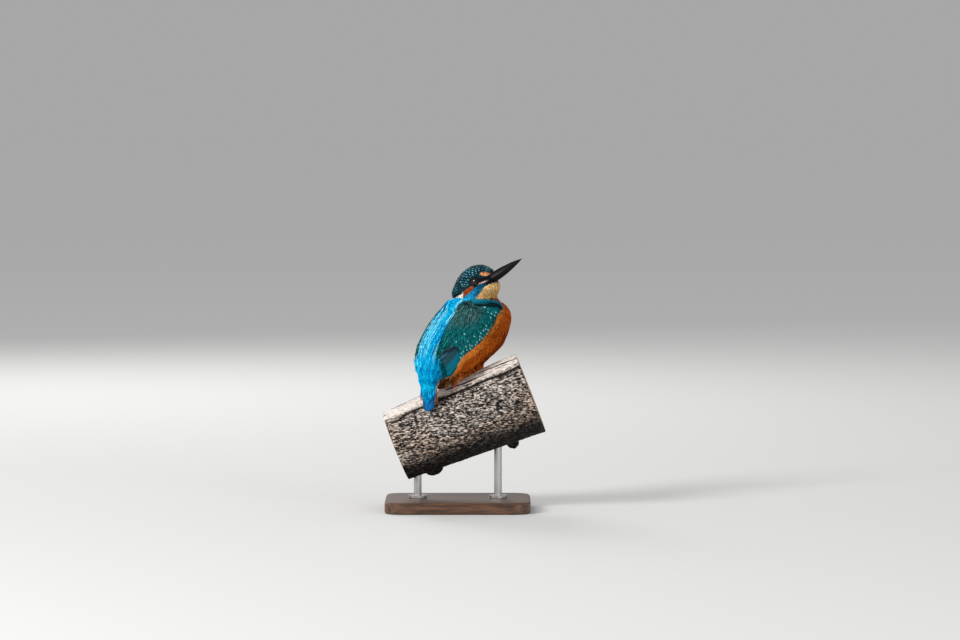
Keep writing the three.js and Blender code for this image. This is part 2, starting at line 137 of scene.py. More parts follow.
def link_noise_bump(tree, bsdf, scale, strength, distance, stretch=(1.0, 1.0, 1.0), detail=4.0, slope=0.0):
    """Bump from noise on the object's own coordinates, sloped about +Y and stretched along its axes."""
    place = tree.nodes.new("ShaderNodeTexCoord")
    mapping = tree.nodes.new("ShaderNodeMapping")
    mapping.inputs["Rotation"].default_value = (0.0, slope, 0.0)
    mapping.inputs["Scale"].default_value = stretch
    noise = tree.nodes.new("ShaderNodeTexNoise")
    noise.inputs["Scale"].default_value = scale
    noise.inputs["Detail"].default_value = detail
    bump = tree.nodes.new("ShaderNodeBump")
    bump.inputs["Strength"].default_value = strength
    bump.inputs["Distance"].default_value = distance
    tree.links.new(place.outputs["Object"], mapping.inputs["Vector"])
    tree.links.new(mapping.outputs["Vector"], noise.inputs["Vector"])
    tree.links.new(noise.outputs["Fac"], bump.inputs["Height"])
    tree.links.new(bump.outputs["Normal"], bsdf.inputs["Normal"])
    return noise


def bough_surface(along, around):
    """Points at distances along and angles round from the top: the tapering round, plus long wavy ridges of
    grain, a slow swell, the crack's groove and the knots' domes. Also gives the relief, for colour."""
    share = along / BOUGH_LENGTH
    radius = BOUGH_RADII[0] + (BOUGH_RADII[1] - BOUGH_RADII[0]) * share
    turn = around / (2 * np.pi)
    waver = ripple(turn * 12, along / 17, 3, 12) * 0.9 + ripple(turn * 30, along / 6, 4, 30) * 0.35
    grain = ripple(turn * 140 + waver, along / 4.8, 5, 140)
    fine = ripple(turn * 230 + waver * 2, along / 1.9, 6, 230)
    chips = ripple(turn * 210 + waver * 2, along / 1.0, 7, 210)
    slow = ripple(turn * 9, along / 30, 8, 9)
    bare_top = smooth(np.cos(around), 0.70, 0.86)
    checks = ripple(turn * 150 + 0.7 * waver, along / 14, 13, 150)
    rough = 0.32 * grain + 0.42 * fine + 0.36 * chips
    bare = 0.2 + 0.3 * fine - 0.7 * smooth(-checks, 0.35, 0.75)
    relief = between(rough, bare, bare_top)
    height = 0.6 * relief + 0.35 * slow - 0.45
    line = np.radians(BOUGH_CRACK[0]) + 0.05 * ripple(along / 14, along * 0 + 2.3, 9)
    away = np.abs(around - line) * radius
    crack = np.exp(-(away / BOUGH_CRACK[1]) ** 2) * smooth(share, 0.03, 0.2)
    crack *= 0.85 + 0.15 * ripple(along / 5, along * 0 + 8.1, 10)
    second = np.radians(BOUGH_FAR_CRACK[0]) + 0.06 * ripple(along / 16, along * 0 + 4.7, 11)
    far_crack = np.exp(-(np.abs(around - second) * radius / BOUGH_FAR_CRACK[1]) ** 2) * smooth(share, 0.3, 0.5)
    crack += BOUGH_FAR_CRACK[2] * far_crack
    height -= BOUGH_CRACK[2] * crack
    for knot_along, knot_around, width, rise in BOUGH_KNOTS:
        across = (np.remainder(around - np.radians(knot_around) + np.pi, 2 * np.pi) - np.pi) * radius
        reach = np.hypot((along - knot_along) / width, across / (0.8 * width))
        dome = np.sqrt(np.clip(1 - reach ** 2, 0, 1)) * rise * (1 + 0.12 * ripple(reach * 5, turn * 60, 12))
        height = np.maximum(height, dome - 0.35)
    edge = np.minimum(along, BOUGH_LENGTH - along)
    radius = radius + height - 0.5 * (1 - smooth(edge, 0.0, 0.8))
    centre = BOUGH_CENTRE + bough_axis * (along[..., None] - BOUGH_LENGTH / 2)
    out = np.cos(around)[..., None] * bough_up + np.sin(around)[..., None] * bough_side
    return centre + out * radius[..., None], relief, crack, bare_top


bough_material, bough_bsdf, bough_tree = shader("weathered_wood")
# the vertex colours: the wood's own tones, with painted shade on the underside, in the cracks and in the grooves
bough_paint = bough_tree.nodes.new("ShaderNodeVertexColor")
bough_paint.layer_name = "weathering_and_shade"
bough_noise = link_noise_bump(bough_tree, bough_bsdf, scale=330.0, strength=0.5, distance=0.0004,
                              stretch=(1.0, 3.2, 3.2), detail=5.0, slope=BOUGH_SLOPE)
bough_noise.inputs["Distortion"].default_value = 0.5
bough_ramp = bough_tree.nodes.new("ShaderNodeMapRange")
bough_ramp.inputs["From Min"].default_value = 0.43
bough_ramp.inputs["From Max"].default_value = 0.61
bough_tree.links.new(bough_paint.outputs["Alpha"], bough_ramp.inputs["To Min"])
bough_ramp.inputs["To Max"].default_value = 1.2
bough_tint = bough_tree.nodes.new("ShaderNodeVectorMath")
bough_tint.operation = "SCALE"
bough_tree.links.new(bough_noise.outputs["Fac"], bough_ramp.inputs["Value"])
bough_tree.links.new(bough_paint.outputs["Color"], bough_tint.inputs[0])
bough_tree.links.new(bough_ramp.outputs["Result"], bough_tint.inputs["Scale"])
bough_tree.links.new(bough_tint.outputs["Vector"], bough_bsdf.inputs["Base Color"])
bough_bsdf.inputs["Roughness"].default_value = 0.85
bough_bsdf.inputs["Specular IOR Level"].default_value = 0.15

along, around = np.meshgrid(np.linspace(0, BOUGH_LENGTH, BOUGH_STEPS),
                            np.linspace(-np.pi, np.pi, BOUGH_AROUND, endpoint=False), indexing="ij")
side_points, relief, crack, bare_top = bough_surface(along, around)
# the grain's dark grooves and pale ridges: partly the wood's own tone, partly painted shade in the grooves
weathering_and_shade = mix(linear(WOOD_DARK), linear(WOOD_PALE), smooth(relief, -0.45, 0.35))
weathering_and_shade = mix(weathering_and_shade, linear(WOOD_BARE), 0.5 * bare_top * smooth(relief, -0.3, 0.1))
warm = smooth(ripple(along / 22, around * 2, 14), -0.3, 0.6) * (1 - bare_top)
weathering_and_shade = weathering_and_shade * mix(np.ones(3), np.array([1.0, 0.9, 0.82]), warm)
# painted shade: the underside darkened towards near-black, where the bough shades itself
weathering_and_shade = mix(weathering_and_shade, linear(WOOD_UNDER_SHADE), 0.9 * smooth(-np.cos(around), 0.3, 0.75))
# painted shade: the cracks' grooves darkened where shade falls in them
weathering_and_shade = mix(weathering_and_shade, linear(WOOD_CRACK_SHADE), np.clip(crack * 2.0, 0, 1))
pores = between(PORES_SIDE, PORES_BARE, bare_top)
end_points, end_colours = [], []
for row, facing in ((0, -1.0), (-1, 1.0)):
    rim = side_points[row]
    middle = rim.mean(0)
    share = np.linspace(1, 0, BOUGH_END_RINGS + 1)[1:, None]
    spoke = around[0][None, :]
    rings = 0.5 + 0.5 * np.sin(share * END_RINGS_TURN + 1.6 * ripple(spoke * 1.4, share * 4, 21))
    split = np.exp(-(np.abs(spoke - 0.6 - 0.2 * share) / 0.025) ** 2)
    split = split + np.exp(-(np.abs(spoke + 2.0) / 0.02) ** 2)
    push = facing * (0.25 * rings - 0.9 * split * smooth(share, 0.0, 0.5))
    end_points.append(middle + (rim - middle) * share[..., None] + bough_axis * push[..., None])
    # painted shade: the splits in the end grain darkened where shade falls in them
    end_colours.append(mix(mix(linear(RING_DARK), linear(RING_PALE), rings), linear(RING_SPLIT_SHADE),
                           np.clip(split, 0, 1)))
points = np.concatenate([end_points[0][::-1], side_points, end_points[1]])
colours = np.concatenate([end_colours[0][::-1], weathering_and_shade, end_colours[1]])
pores = np.pad(pores, ((BOUGH_END_RINGS, BOUGH_END_RINGS), (0, 0)), constant_values=PORES_END)
bough = new_piece("bough", points.reshape(-1, 3) / 1000, grid_corners(len(points), BOUGH_AROUND, True)[:, ::-1],
                  bough_material)
colour_points(bough, "weathering_and_shade", colours.reshape(-1, 3), pores.ravel())
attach(bough, "root")
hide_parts("perch")

# ---------------------------------------------------------------------------------------------------------
# The display stand: a flat base of dark oiled hardwood, and two brushed steel rods on round feet that are
# let into the bough. The solids carry over with finer finishes.
base_material, base_bsdf, base_tree = shader("oiled_hardwood")
base_noise = link_noise_bump(base_tree, base_bsdf, scale=60.0, strength=0.12, distance=0.0003,
                             stretch=(1.0, 9.0, 9.0))
base_ramp = base_tree.nodes.new("ShaderNodeValToRGB")
base_ramp.color_ramp.elements[0].position = 0.32
base_ramp.color_ramp.elements[0].color = (*linear("2e1d13"), 1.0)
base_ramp.color_ramp.elements[1].position = 0.68
base_ramp.color_ramp.elements[1].color = (*linear("5d3c26"), 1.0)
base_tree.links.new(base_noise.outputs["Fac"], base_ramp.inputs["Fac"])
base_tree.links.new(base_ramp.outputs["Color"], base_bsdf.inputs["Base Color"])
base_bsdf.inputs["Roughness"].default_value = 0.42
rod_material, rod_bsdf, rod_tree = shader("brushed_steel")
rod_bsdf.inputs["Base Color"].default_value = (*linear("b9b9b6"), 1.0)
rod_bsdf.inputs["Metallic"].default_value = 1.0
rod_bsdf.inputs["Roughness"].default_value = 0.34
link_noise_bump(rod_tree, rod_bsdf, scale=300.0, strength=0.15, distance=0.0001, stretch=(1.0, 1.0, 30.0))
for node, finish in (("stand_base", base_material), ("stand_rod_low", rod_material),
                     ("stand_rod_high", rod_material)):
    nodes[node].data.materials.clear()
    nodes[node].data.materials.append(finish)

# ---------------------------------------------------------------------------------------------------------
# The skin: one closed surface over head, neck, trunk and wings, as deep under the feathers as the coat is
# thick. The flesh of the solids is joined, smoothed over its joins, and drawn in.
SEAT = np.array([-6.0, -8.0, 98.5687])
HEADING = np.radians(50.0)
HEAD_MIDDLE = np.array([29.5, -7.0, 77.4])
HEAD_TURN = np.radians(-85.0)
HEAD_PITCH = np.radians(25.0)
BILL_ROOT = np.array([13.0, 0.0, -1.0])  # in the head's frame
FLESH = ("trunk", "neck", "head", "wing_left", "wing_right", "eye_left", "eye_right")
JOIN_SWELL = 0.25  # closes the gaps between the solids
SKIN_VOXEL = 0.75
SKIN_SMOOTHINGS = 9
COAT_DEPTH = (0.45, 1.35)  # on the face and on the body
# painted shade: the skin carries the plumage colours darkened by this share, as the shade under the feathers
SKIN_PAINTED_SHADE = 0.6  # the skin's share of the brightness of the feathers over it


def turn_z(angle):
    """Rotation about the upright axis."""
    return np.array([[np.cos(angle), -np.sin(angle), 0.0], [np.sin(angle), np.cos(angle), 0.0], [0.0, 0.0, 1.0]])


def turn_y(angle):
    """Rotation about the axis that points left."""
    return np.array([[np.cos(angle), 0.0, np.sin(angle)], [0.0, 1.0, 0.0], [-np.sin(angle), 0.0, np.cos(angle)]])


bird_axes = turn_z(HEADING)
head_axes = turn_z(HEAD_TURN) @ turn_y(-HEAD_PITCH)


def to_world(p):
    """Metres in the model's frame from millimetres in the bird's frame."""
    return (p @ bird_axes.T + SEAT) / 1000


def to_bird(p):
    """Millimetres in the bird's frame from metres in the model's frame."""
    return (p * 1000 - SEAT) @ bird_axes


def to_head(p):
    """From the bird's frame to the head's: x along the bill, y left, z up, from midway between the eyes."""
    return (p - HEAD_MIDDLE) @ head_axes


def from_head(p):
    """From the head's frame to the bird's."""
    return p @ head_axes.T + HEAD_MIDDLE


def unit(v):
    """Vectors of length 1."""
    return v / np.maximum(np.linalg.norm(v, axis=-1, keepdims=True), 1e-9)


def bough_under(p):
    """Height of the bough's top, in the bird's frame, under places given in it."""
    at = p @ bird_axes.T + SEAT
    z = np.full(at.shape[:-1], BOUGH_CENTRE[2])
    for _ in range(6):
        along = (at[..., 0] - BOUGH_CENTRE[0]) * bough_axis[0] + (z - BOUGH_CENTRE[2]) * bough_axis[2]
        radius = np.interp(along + BOUGH_LENGTH / 2, (0, BOUGH_LENGTH), BOUGH_RADII)
        middle = BOUGH_CENTRE[2] + (at[..., 0] - BOUGH_CENTRE[0]) * np.tan(BOUGH_SLOPE)
        z = middle + np.sqrt(np.clip(radius ** 2 - at[..., 1] ** 2, 0, None)) / np.cos(BOUGH_SLOPE)
    return z - SEAT[2]


def mesh_arrays(mesh):
    """Points and three-cornered faces of a mesh."""
    points = np.empty(len(mesh.vertices) * 3)
    mesh.vertices.foreach_get("co", points)
    mesh.calc_loop_triangles()
    faces = np.empty(len(mesh.loop_triangles) * 3, np.int32)
    mesh.loop_triangles.foreach_get("vertices", faces)
    return points.reshape(-1, 3), faces.reshape(-1, 3)


def merged(points, faces):
    """The same faces with points at one place merged into one."""
    kept, number = np.unique(np.round(points, 7), axis=0, return_inverse=True)
    return kept, number.ravel()[faces]


def swollen(points, faces, swell):
    """Every point moved out by swell along the mean of its faces' normals."""
    a, b, c = points[faces[:, 0]], points[faces[:, 1]], points[faces[:, 2]]
    face_normal = np.cross(b - a, c - a)
    normal = np.zeros_like(points)
    for corner in range(3):
        np.add.at(normal, faces[:, corner], face_normal)
    return points + unit(normal) * swell


flesh_points, flesh_faces, count = [], [], 0
for node in FLESH:
    points, faces = merged(*mesh_arrays(nodes[node].data))
    flesh_points.append(swollen(points, faces, JOIN_SWELL / 1000))
    flesh_faces.append(faces + count)
    count += len(points)
skin_material, skin_bsdf, skin_tree = shader("skin")
flesh = new_piece("flesh", np.concatenate(flesh_points), np.concatenate(flesh_faces), skin_material)
remesh = flesh.modifiers.new("join", "REMESH")
remesh.mode = "VOXEL"
remesh.voxel_size = SKIN_VOXEL / 1000
bpy.context.view_layer.update()
joined = bpy.data.meshes.new_from_object(flesh.evaluated_get(bpy.context.evaluated_depsgraph_get()))
skin_points = np.empty(len(joined.vertices) * 3)
joined.vertices.foreach_get("co", skin_points)
skin_points = to_bird(skin_points.reshape(-1, 3))
skin_edges = np.empty(len(joined.edges) * 2, np.int32)
joined.edges.foreach_get("vertices", skin_edges)
skin_edges = skin_edges.reshape(-1, 2)
skin_quads = np.empty(len(joined.polygons) * 4, np.int32)
joined.loops.foreach_get("vertex_index", skin_quads)
skin_quads = skin_quads.reshape(-1, 4)
bpy.data.objects.remove(flesh)

neighbours = np.bincount(skin_edges.ravel(), minlength=len(skin_points))[:, None]
for _ in range(SKIN_SMOOTHINGS):
    total = np.zeros_like(skin_points)
    np.add.at(total, skin_edges[:, 0], skin_points[skin_edges[:, 1]])
    np.add.at(total, skin_edges[:, 1], skin_points[skin_edges[:, 0]])
    skin_points += 0.5 * (total / neighbours - skin_points)


def coat_depth(p):
    """Thickness of the feathers: thin at the bill and round the eyes, full on the body."""
    h = to_head(p)
    from_bill = np.linalg.norm(h - BILL_ROOT, axis=-1)
    return between(COAT_DEPTH[0], COAT_DEPTH[1], smooth(from_bill, 5.0, 30.0))


# ---------------------------------------------------------------------------------------------------------
# The ground the feathers stand in: how far any place is from the skin and which way is out, kept on a
# lattice, so that whole arrays of places can be laid on the skin or held at a height over it. The skin lies
# under the joined flesh by the coat's depth.
LATTICE_STEP = 1.4
LATTICE_MARGIN = 7.0
TAIL_STUMP = ((-21.0, -25.5, 1.4, 3.6), (-9.0, -25.4, 1.7, 4.6), (2.0, -24.9, 3.0, 6.6), (9.0, -24.4, 4.2, 8.0))
MANTLE = ((14.0, 1.5, 56.5), (12.0, 10.5, 7.0))  # middle and radii of the full base of the neck
FOREHEAD = ((6.9, 0.0, 2.0), (6.3, 4.6, 5.8))  # in the head's frame: middle and radii of the full forehead
STUMP_BLEND = 3.0
RAY_STEPS, RAY_REACH, RAY_MET = 40, 60.0, 0.3  # most steps, farthest place, and how near counts as on the skin

lattice_low = skin_points.min(0) - LATTICE_MARGIN
lattice_low[2] = TAIL_STUMP[0][0] - LATTICE_MARGIN
lattice_span = skin_points.max(0) + LATTICE_MARGIN - lattice_low
lattice_shape = np.ceil(lattice_span / LATTICE_STEP).astype(int) + 1
skin_tree_of_faces = BVHTree.FromPolygons(skin_points.tolist(), skin_quads.tolist())


def measured(place):
    """Signed distance from the joined flesh to one place, positive outside."""
    near, normal, _, distance = skin_tree_of_faces.find_nearest(place)
    return distance if sum((a - b) * n for a, b, n in zip(place, near, normal)) > 0 else -distance


def from_oval(p, middle, radii):
    """Distance from a rounded fullness, as of the mantle, which carries the nape over into the back."""
    near = np.linalg.norm((p - np.array(middle)) / np.array(radii), axis=-1)
    steep = np.linalg.norm((p - np.array(middle)) / np.array(radii) ** 2, axis=-1)
    return near * (near - 1) / np.maximum(steep, 1e-3)


def from_stump(p):
    """Distance from the fleshy stump that the tail stands in: an oval across, which tapers downwards. Its rows
    give the height, how far forward, half the depth and half the width."""
    rows = np.array(TAIL_STUMP)
    u = p[..., 2]
    middle, deep, wide = (np.interp(u, rows[:, 0], rows[:, k]) for k in (1, 2, 3))
    near = np.hypot((p[..., 0] - middle) / deep, p[..., 1] / wide)
    steep = np.hypot((p[..., 0] - middle) / deep ** 2, p[..., 1] / wide ** 2)
    return near * (near - 1) / np.maximum(steep, 1e-3) + np.clip(u - rows[-1, 0], 0, None)


lattice_axes = [low + LATTICE_STEP * np.arange(n) for low, n in zip(lattice_low, lattice_shape)]
lattice_places = np.stack(np.meshgrid(*lattice_axes, indexing="ij"), -1).reshape(-1, 3)
lattice_height = np.array([measured(place) for place in lattice_places.tolist()])
lattice_height = lattice_height + coat_depth(lattice_places) + JOIN_SWELL
for added in (from_stump(lattice_places), from_oval(lattice_places, *MANTLE),
              from_oval(to_head(lattice_places), *FOREHEAD)):
    overlap = np.clip(1 - np.abs(lattice_height - added) / STUMP_BLEND, 0, None)
    lattice_height = np.minimum(lattice_height, added) - overlap ** 2 * STUMP_BLEND / 4
lattice_height = lattice_height.reshape(lattice_shape)
lattice = np.stack([lattice_height, *np.gradient(lattice_height, LATTICE_STEP)], -1)


def over_skin(p):
    """Height over the skin and the way out from it, blended from the eight nearest lattice places."""
    place = np.clip((p - lattice_low) / LATTICE_STEP, 0, np.array(lattice_shape) - 1.001)
    cell = place.astype(int)
    share = place - cell
    value = 0.0
    for corner in np.ndindex(2, 2, 2):
        weight = np.prod(np.where(corner, share, 1 - share), axis=-1)
        index = cell + corner
        value = value + weight[..., None] * lattice[index[..., 0], index[..., 1], index[..., 2]]
    return value[..., 0], unit(value[..., 1:])


def settled(p, height, passes=2):
    """Places moved straight out or in until they are at that height over the skin."""
    for _ in range(passes):
        now, out = over_skin(p)
        p = p + out * (height - now)[..., None]
    return p


def cast_in(start, way):
    """Where rays from start meet the skin, and whether they do: each step is as long as the way is clear."""
    p = start.copy()
    gone = np.zeros(p.shape[:-1])
    for _ in range(RAY_STEPS):
        height, _ = over_skin(p)
        step = np.clip(height * 0.8, -0.5, 4.0)
        p = p + way * step[..., None]
        gone = gone + step
    height, _ = over_skin(p)
    return p, (np.abs(height) < RAY_MET) & (gone < RAY_REACH)


# ---------------------------------------------------------------------------------------------------------
# The markings, the same for skin and feathers: azure stripe down the back from nape to tail, teal wings,
# orange underparts, and the barred crown, orange and white ear patch, blue moustache and cream throat.
SPINE = np.array([  # the middle line of the body from the side: forward, up
    (-25.6, -14), (-25.2, -5), (-23, 7), (-15, 17), (-1, 26), (14, 35.5), (28, 45), (35.5, 55), (31, 64)], float)
STRIPE_HALF = (  # height, and half the stripe's width there
    (-14, 8.0), (2, 9.6), (12, 12.0), (24, 8.2), (36, 7.4), (46, 6.6), (58, 5.6), (66, 6.5))
STRIPE_LEFT = 3.4  # how much further it reaches on the left
WING_EDGE = np.array([  # the folded wing from the side: forward, up
    (8, 62.5), (21, 62.3), (33, 59.5), (36, 55), (28.5, 51), (23.5, 44), (13.5, 34), (3, 27.5), (-6.5, 22),
    (-11, 15), (-12.5, 8), (-17.5, 2.8), (-24, 9), (-31, 24), (-22, 43), (-8, 56)])
WING_LOWER = WING_EDGE[3:12]

TEAL_DARK, TEAL, TEAL_GREY = linear("052b30"), linear("066668"), linear("486363")
SPOT = linear("9ce6ee")
AZURE, AZURE_PALE, AZURE_DEEP = linear("06c8f2"), linear("9cf0fc"), linear("0488c8")
ORANGE, ORANGE_BRIGHT, RUFOUS, TAN = linear("c8661a"), linear("fba445"), linear("8c3606"), linear("c4925a")
VENT_BROWN_SHADOW, WING_TIP = linear("46301a"), linear("0a6f8a")
CREAM, CREAM_LOW, WHITE, BLACK = linear("dab67c"), linear("b07a3c"), linear("f1ebe0"), linear("0a0d0e")
MALAR, MALAR_PALE = linear("045c84"), linear("1c96cc")  # the moustache
MALAR_FRONT, MALAR_REAR = linear("063a50"), linear("1eaade")
CROWN_DARK, CROWN, FOREHEAD_RIM_HIGHLIGHT, EAR = linear("031d22"), linear("07363e"), linear("2f6670"), linear("8e3f14")
BUFF, BUFF_DARK, GAPE_SKIN = linear("d89660"), linear("a85c30"), linear("cfa89c")


def from_line(f, u, line):
    """Distance in the side view from places (f, u) to a line of points."""
    best = np.full(np.shape(f), np.inf)
    for (f0, u0), (f1, u1) in zip(line[:-1], line[1:]):
        df, du = f1 - f0, u1 - u0
        share = np.clip(((f - f0) * df + (u - u0) * du) / (df * df + du * du), 0, 1)
        best = np.minimum(best, np.hypot(f - f0 - share * df, u - u0 - share * du))
    return best


def inside(f, u, outline):
    """Whether places in the side view are inside a closed outline: an upward ray crosses it an odd number of
    times."""
    odd = np.zeros(np.shape(f), bool)
    for (f0, u0), (f1, u1) in zip(outline, np.roll(outline, -1, axis=0)):
        crosses = (f0 > f) != (f1 > f)
        with np.errstate(divide="ignore", invalid="ignore"):
            odd ^= crosses & (u < u0 + (f - f0) * (u1 - u0) / (f1 - f0))
    return odd


def past_stripe(p):
    """How far places are past the edge of the stripe on the back; less than 0 on it."""
    side = np.where(p[..., 1] > 0, p[..., 1] - STRIPE_LEFT, -p[..., 1])
    return side - np.interp(p[..., 2], *zip(*STRIPE_HALF))


def on_back(p):
    """1 on the side of the spine that is the back."""
    return smooth(np.interp(p[..., 2], SPINE[:, 1], SPINE[:, 0]) - p[..., 0], -1.0, 1.0)


def on_wing(p):
    """1 within the folded wings' outline, outside the stripe between them."""
    f, u = p[..., 0], p[..., 2]
    back = np.interp(u, SPINE[:, 1], SPINE[:, 0]) > f
    return inside(f, u, WING_EDGE) & ((past_stripe(p) > 0) | ~back) & (np.abs(p[..., 1]) > 4)


def body_colours(p):
    """Orange below, brightest along the wing, browner in the middle and up the breast; azure stripe on the
    back, deeper and bluer towards the tail."""
    f, u = p[..., 0], p[..., 2]
    edge = from_line(f, u, WING_LOWER)
    blotch = ripple(f / 7 + np.abs(p[..., 1]) / 9, u / 8, 31)
    long_blotch = ripple(edge / 2.2, (f + u) / 14, 32)
    colour = mix(ORANGE, ORANGE_BRIGHT, smooth(8.0 - edge + 1.5 * long_blotch, 0, 5.5) * 0.9)
    colour = mix(colour, RUFOUS, smooth(3.5 - np.abs(edge - 9 + 2 * blotch), 0, 4) * 0.35)
    colour = mix(colour, RUFOUS, smooth(edge + 3 * blotch + 3 * long_blotch, 14, 22) * 0.8)
    colour = mix(colour, RUFOUS, smooth(u, 26, 36) * 0.45)
    colour = mix(colour, RUFOUS, smooth(u, 58, 65) * 0.4)
    colour = mix(colour, TAN, smooth(10 - u, 0, 12) * 0.5)
    # the vent's own brown, darkened further as painted shadow where the belly lies close over the bough
    vent = smooth(7 - u, 0, 6) * smooth(-2 - f, 0, 6) * smooth(f + 21.5, 0, 3)
    colour = mix(colour, VENT_BROWN_SHADOW, vent * 0.8)
    colour = mix(colour, TEAL_GREY, smooth(u, 50, 55) * smooth(27 - f, 0, 4))
    past = past_stripe(p)
    colour = mix(colour, TEAL_DARK, on_back(p) * smooth(u, -4, 4))
    azure = mix(AZURE, AZURE_DEEP, smooth(2 - u, 0, 16) * 0.8)
    azure = mix(azure, AZURE_DEEP, smooth(past, -4, -0.5) * 0.45)
    return mix(colour, azure, on_back(p) * smooth(-past - 0.8 * blotch, -1.0, 1.0))


def wing_colours(p):
    """Grey-green over the shoulder, teal below, bluer towards the tip."""
    f, u = p[..., 0], p[..., 2]
    edge = from_line(f, u, WING_LOWER)
    grey = smooth(edge, 10, 17) * smooth(u, 38, 50)
    colour = mix(TEAL, TEAL_GREY, grey * (0.75 + 0.25 * ripple(f / 5, u / 5, 33)))
    return mix(colour, WING_TIP, smooth(14 - u, 0, 12) * 0.6)


def head_colours(h):
    """Painted from the crown down: teal crown, cream throat, blue moustache, orange and white ear patch with a
    black line over it, black lores, buff spot before the eye, and the pale line of the gape."""
    x, side, z = h[..., 0], np.abs(h[..., 1]), h[..., 2]
    colour = mix(CROWN_DARK, CROWN, 0.5 + 0.5 * ripple(x / 3, z / 3, 35))
    # painted highlight: a pale blue-grey rim of light over the forehead
    colour = mix(colour, FOREHEAD_RIM_HIGHLIGHT, smooth(x, 6.5, 11) * smooth(z, 3.2, 6) * 0.6)
    moustache_top = -4.4 + np.where(x > 0, 0.16, 0.28) * x
    moustache_low = np.where(x > -3, -10.5 + 0.44 * x, -13.0)
    ear_top = np.interp(x, (-14.0, -9.4, -5.3, -2.0), (-4.2, -2.6, -2.3, -2.6))
    cream = mix(CREAM, CREAM_LOW, smooth(-z, 9, 16) * 0.65)
    colour = mix(colour, cream, smooth(moustache_low - z, -0.4, 0.5) * smooth(x, -5.5, -3.0))
    blue = mix(MALAR, MALAR_PALE, smooth(ripple(x / 1.6, z / 1.2, 36), 0.0, 0.8) * 0.8)
    blue = mix(blue, MALAR_FRONT, smooth(x, -2, 4) * 0.7)
    blue = mix(blue, MALAR_REAR, smooth(-x, 1, 7) * 0.35)
    colour = mix(colour, blue, smooth(moustache_top - z, -0.3, 0.3) * smooth(z - moustache_low, -0.5, 0.3))
    ear = smooth(ear_top - z, -0.3, 0.3) * smooth(z - moustache_top, -0.3, 0.3)
    colour = mix(colour, EAR, ear * smooth(-x, 1.6, 2.4) * smooth(x, -12.8, -11.8))
    white = smooth(ear_top - z, -0.3, 0.3) * smooth(z, -9.0, -8.0)
    white = white * smooth(-x, 12.0, 12.8) * smooth(x, -21.5, -20.5)
    colour = mix(colour, WHITE, white)
    line = np.exp(-((z - ear_top - 0.7) / 0.75) ** 2) * smooth(-x, 11.5, 13.5) * smooth(x, -23, -21)
    colour = mix(colour, BLACK, line)
    lore = smooth(x, 2.0, 3.5) * smooth(z, -2.9, -2.3) * smooth(1.6 - 0.18 * (x - 3) - z, -0.3, 0.5)
    colour = mix(colour, BLACK, lore * 0.95)
    across = (z - 2.9) + 0.42 * (x - 8.2)
    spot = np.hypot((x - 8.5) / 2.7, across / 1.5)
    buff = mix(BUFF, BUFF_DARK, smooth(ripple(x / 0.9, z / 0.9, 38), -0.2, 0.6))
    colour = mix(colour, buff, smooth(1.1 - spot, -0.12, 0.15) * smooth(side, 1.8, 2.8))
    gape = np.exp(-((z + 2.75 + 0.03 * x) / 0.42) ** 2) * smooth(x, -3.2, -2.0) * smooth(9.2 - x, 0, 1.2)
    colour = mix(colour, GAPE_SKIN, gape * smooth(side, 3.5, 4.5))
    colour = mix(colour, BLACK, smooth(x - 12.3 + 0.4 * (2.8 - z), -0.3, 0.3) * smooth(z, -6.4, -5.8))
    chin = smooth(x, 5.5, 7.5) * smooth(z + 6.6 + 0.1 * (12 - x), -0.3, 0.3)
    chin = chin * smooth(-z, 2.9 - 0.12 * (x - 8), 3.7)
    colour = mix(colour, BLACK, chin * 0.9)
    round_eye = np.hypot(x, z)
    return mix(colour, BLACK, smooth(4.1 - round_eye, 0, 0.7) * smooth(side, 6, 8) * 0.9)


def plumage_and_painted_light(p):
    """The marking at any place on the bird, with the painted shadow at the vent and the painted highlight on the
    forehead.
    """
    h = to_head(p)
    body = np.where(on_wing(p)[..., None], wing_colours(p), body_colours(p))
    nape_line = 64.2 + 0.7 * ripple(p[..., 0] / 2, p[..., 1] / 2, 37)
    return mix(body, head_colours(h), smooth(p[..., 2] - nape_line, -0.3, 0.3))


skin_points = settled(skin_points, 0.0, 4)
skin = new_piece("skin", to_world(skin_points), skin_quads, skin_material)
# the skin is painted with the markings in painted shade, as seen between the feathers
colour_points(skin, "plumage_and_painted_light", plumage_and_painted_light(skin_points) * SKIN_PAINTED_SHADE)
skin_paint = skin_tree.nodes.new("ShaderNodeVertexColor")
skin_paint.layer_name = "plumage_and_painted_light"
skin_tree.links.new(skin_paint.outputs["Color"], skin_bsdf.inputs["Base Color"])
skin_bsdf.inputs["Roughness"].default_value = 0.8
link_noise_bump(skin_tree, skin_bsdf, scale=1500.0, strength=0.3, distance=0.0002)
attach(skin, "root")
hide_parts("head", "neck", "trunk", "wing_left", "wing_right")

# ---------------------------------------------------------------------------------------------------------
# The vane of a feather: a thin leaf on a middle line that starts at the root, follows the lie of the coat and
# climbs from the skin towards its tip, so that each tip lies over the roots behind it.
TUFT_GRID = (5, 3)
TUFT_LEAF = ((0, 0.3, 0.75, 0.93, 1), (0.55, 1, 0.9, 0.5, 0.1))  # shares of the length, shares of the width
LIFT_POWER = 1.3  # how late along its length a feather climbs
BAKE_PATCH = 0.003  # side of each feather's patch on the OFBake map
SPINE_STEPS, SPINE_BLUR = 60, 15  # points on the smooth spine, and how many are blurred together

spine_share = np.linspace(0, len(SPINE) - 1, SPINE_STEPS)
spine_line = np.stack([np.interp(spine_share, np.arange(len(SPINE)), SPINE[:, k]) for k in (0, 1)], -1)
spine_way = np.gradient(spine_line, axis=0)
spine_way = np.stack([np.convolve(np.pad(spine_way[:, k], SPINE_BLUR // 2, "edge"),
                                  np.ones(SPINE_BLUR) / SPINE_BLUR, "valid") for k in (0, 1)], -1)
spine_way = spine_way / np.linalg.norm(spine_way, axis=1)[:, None]


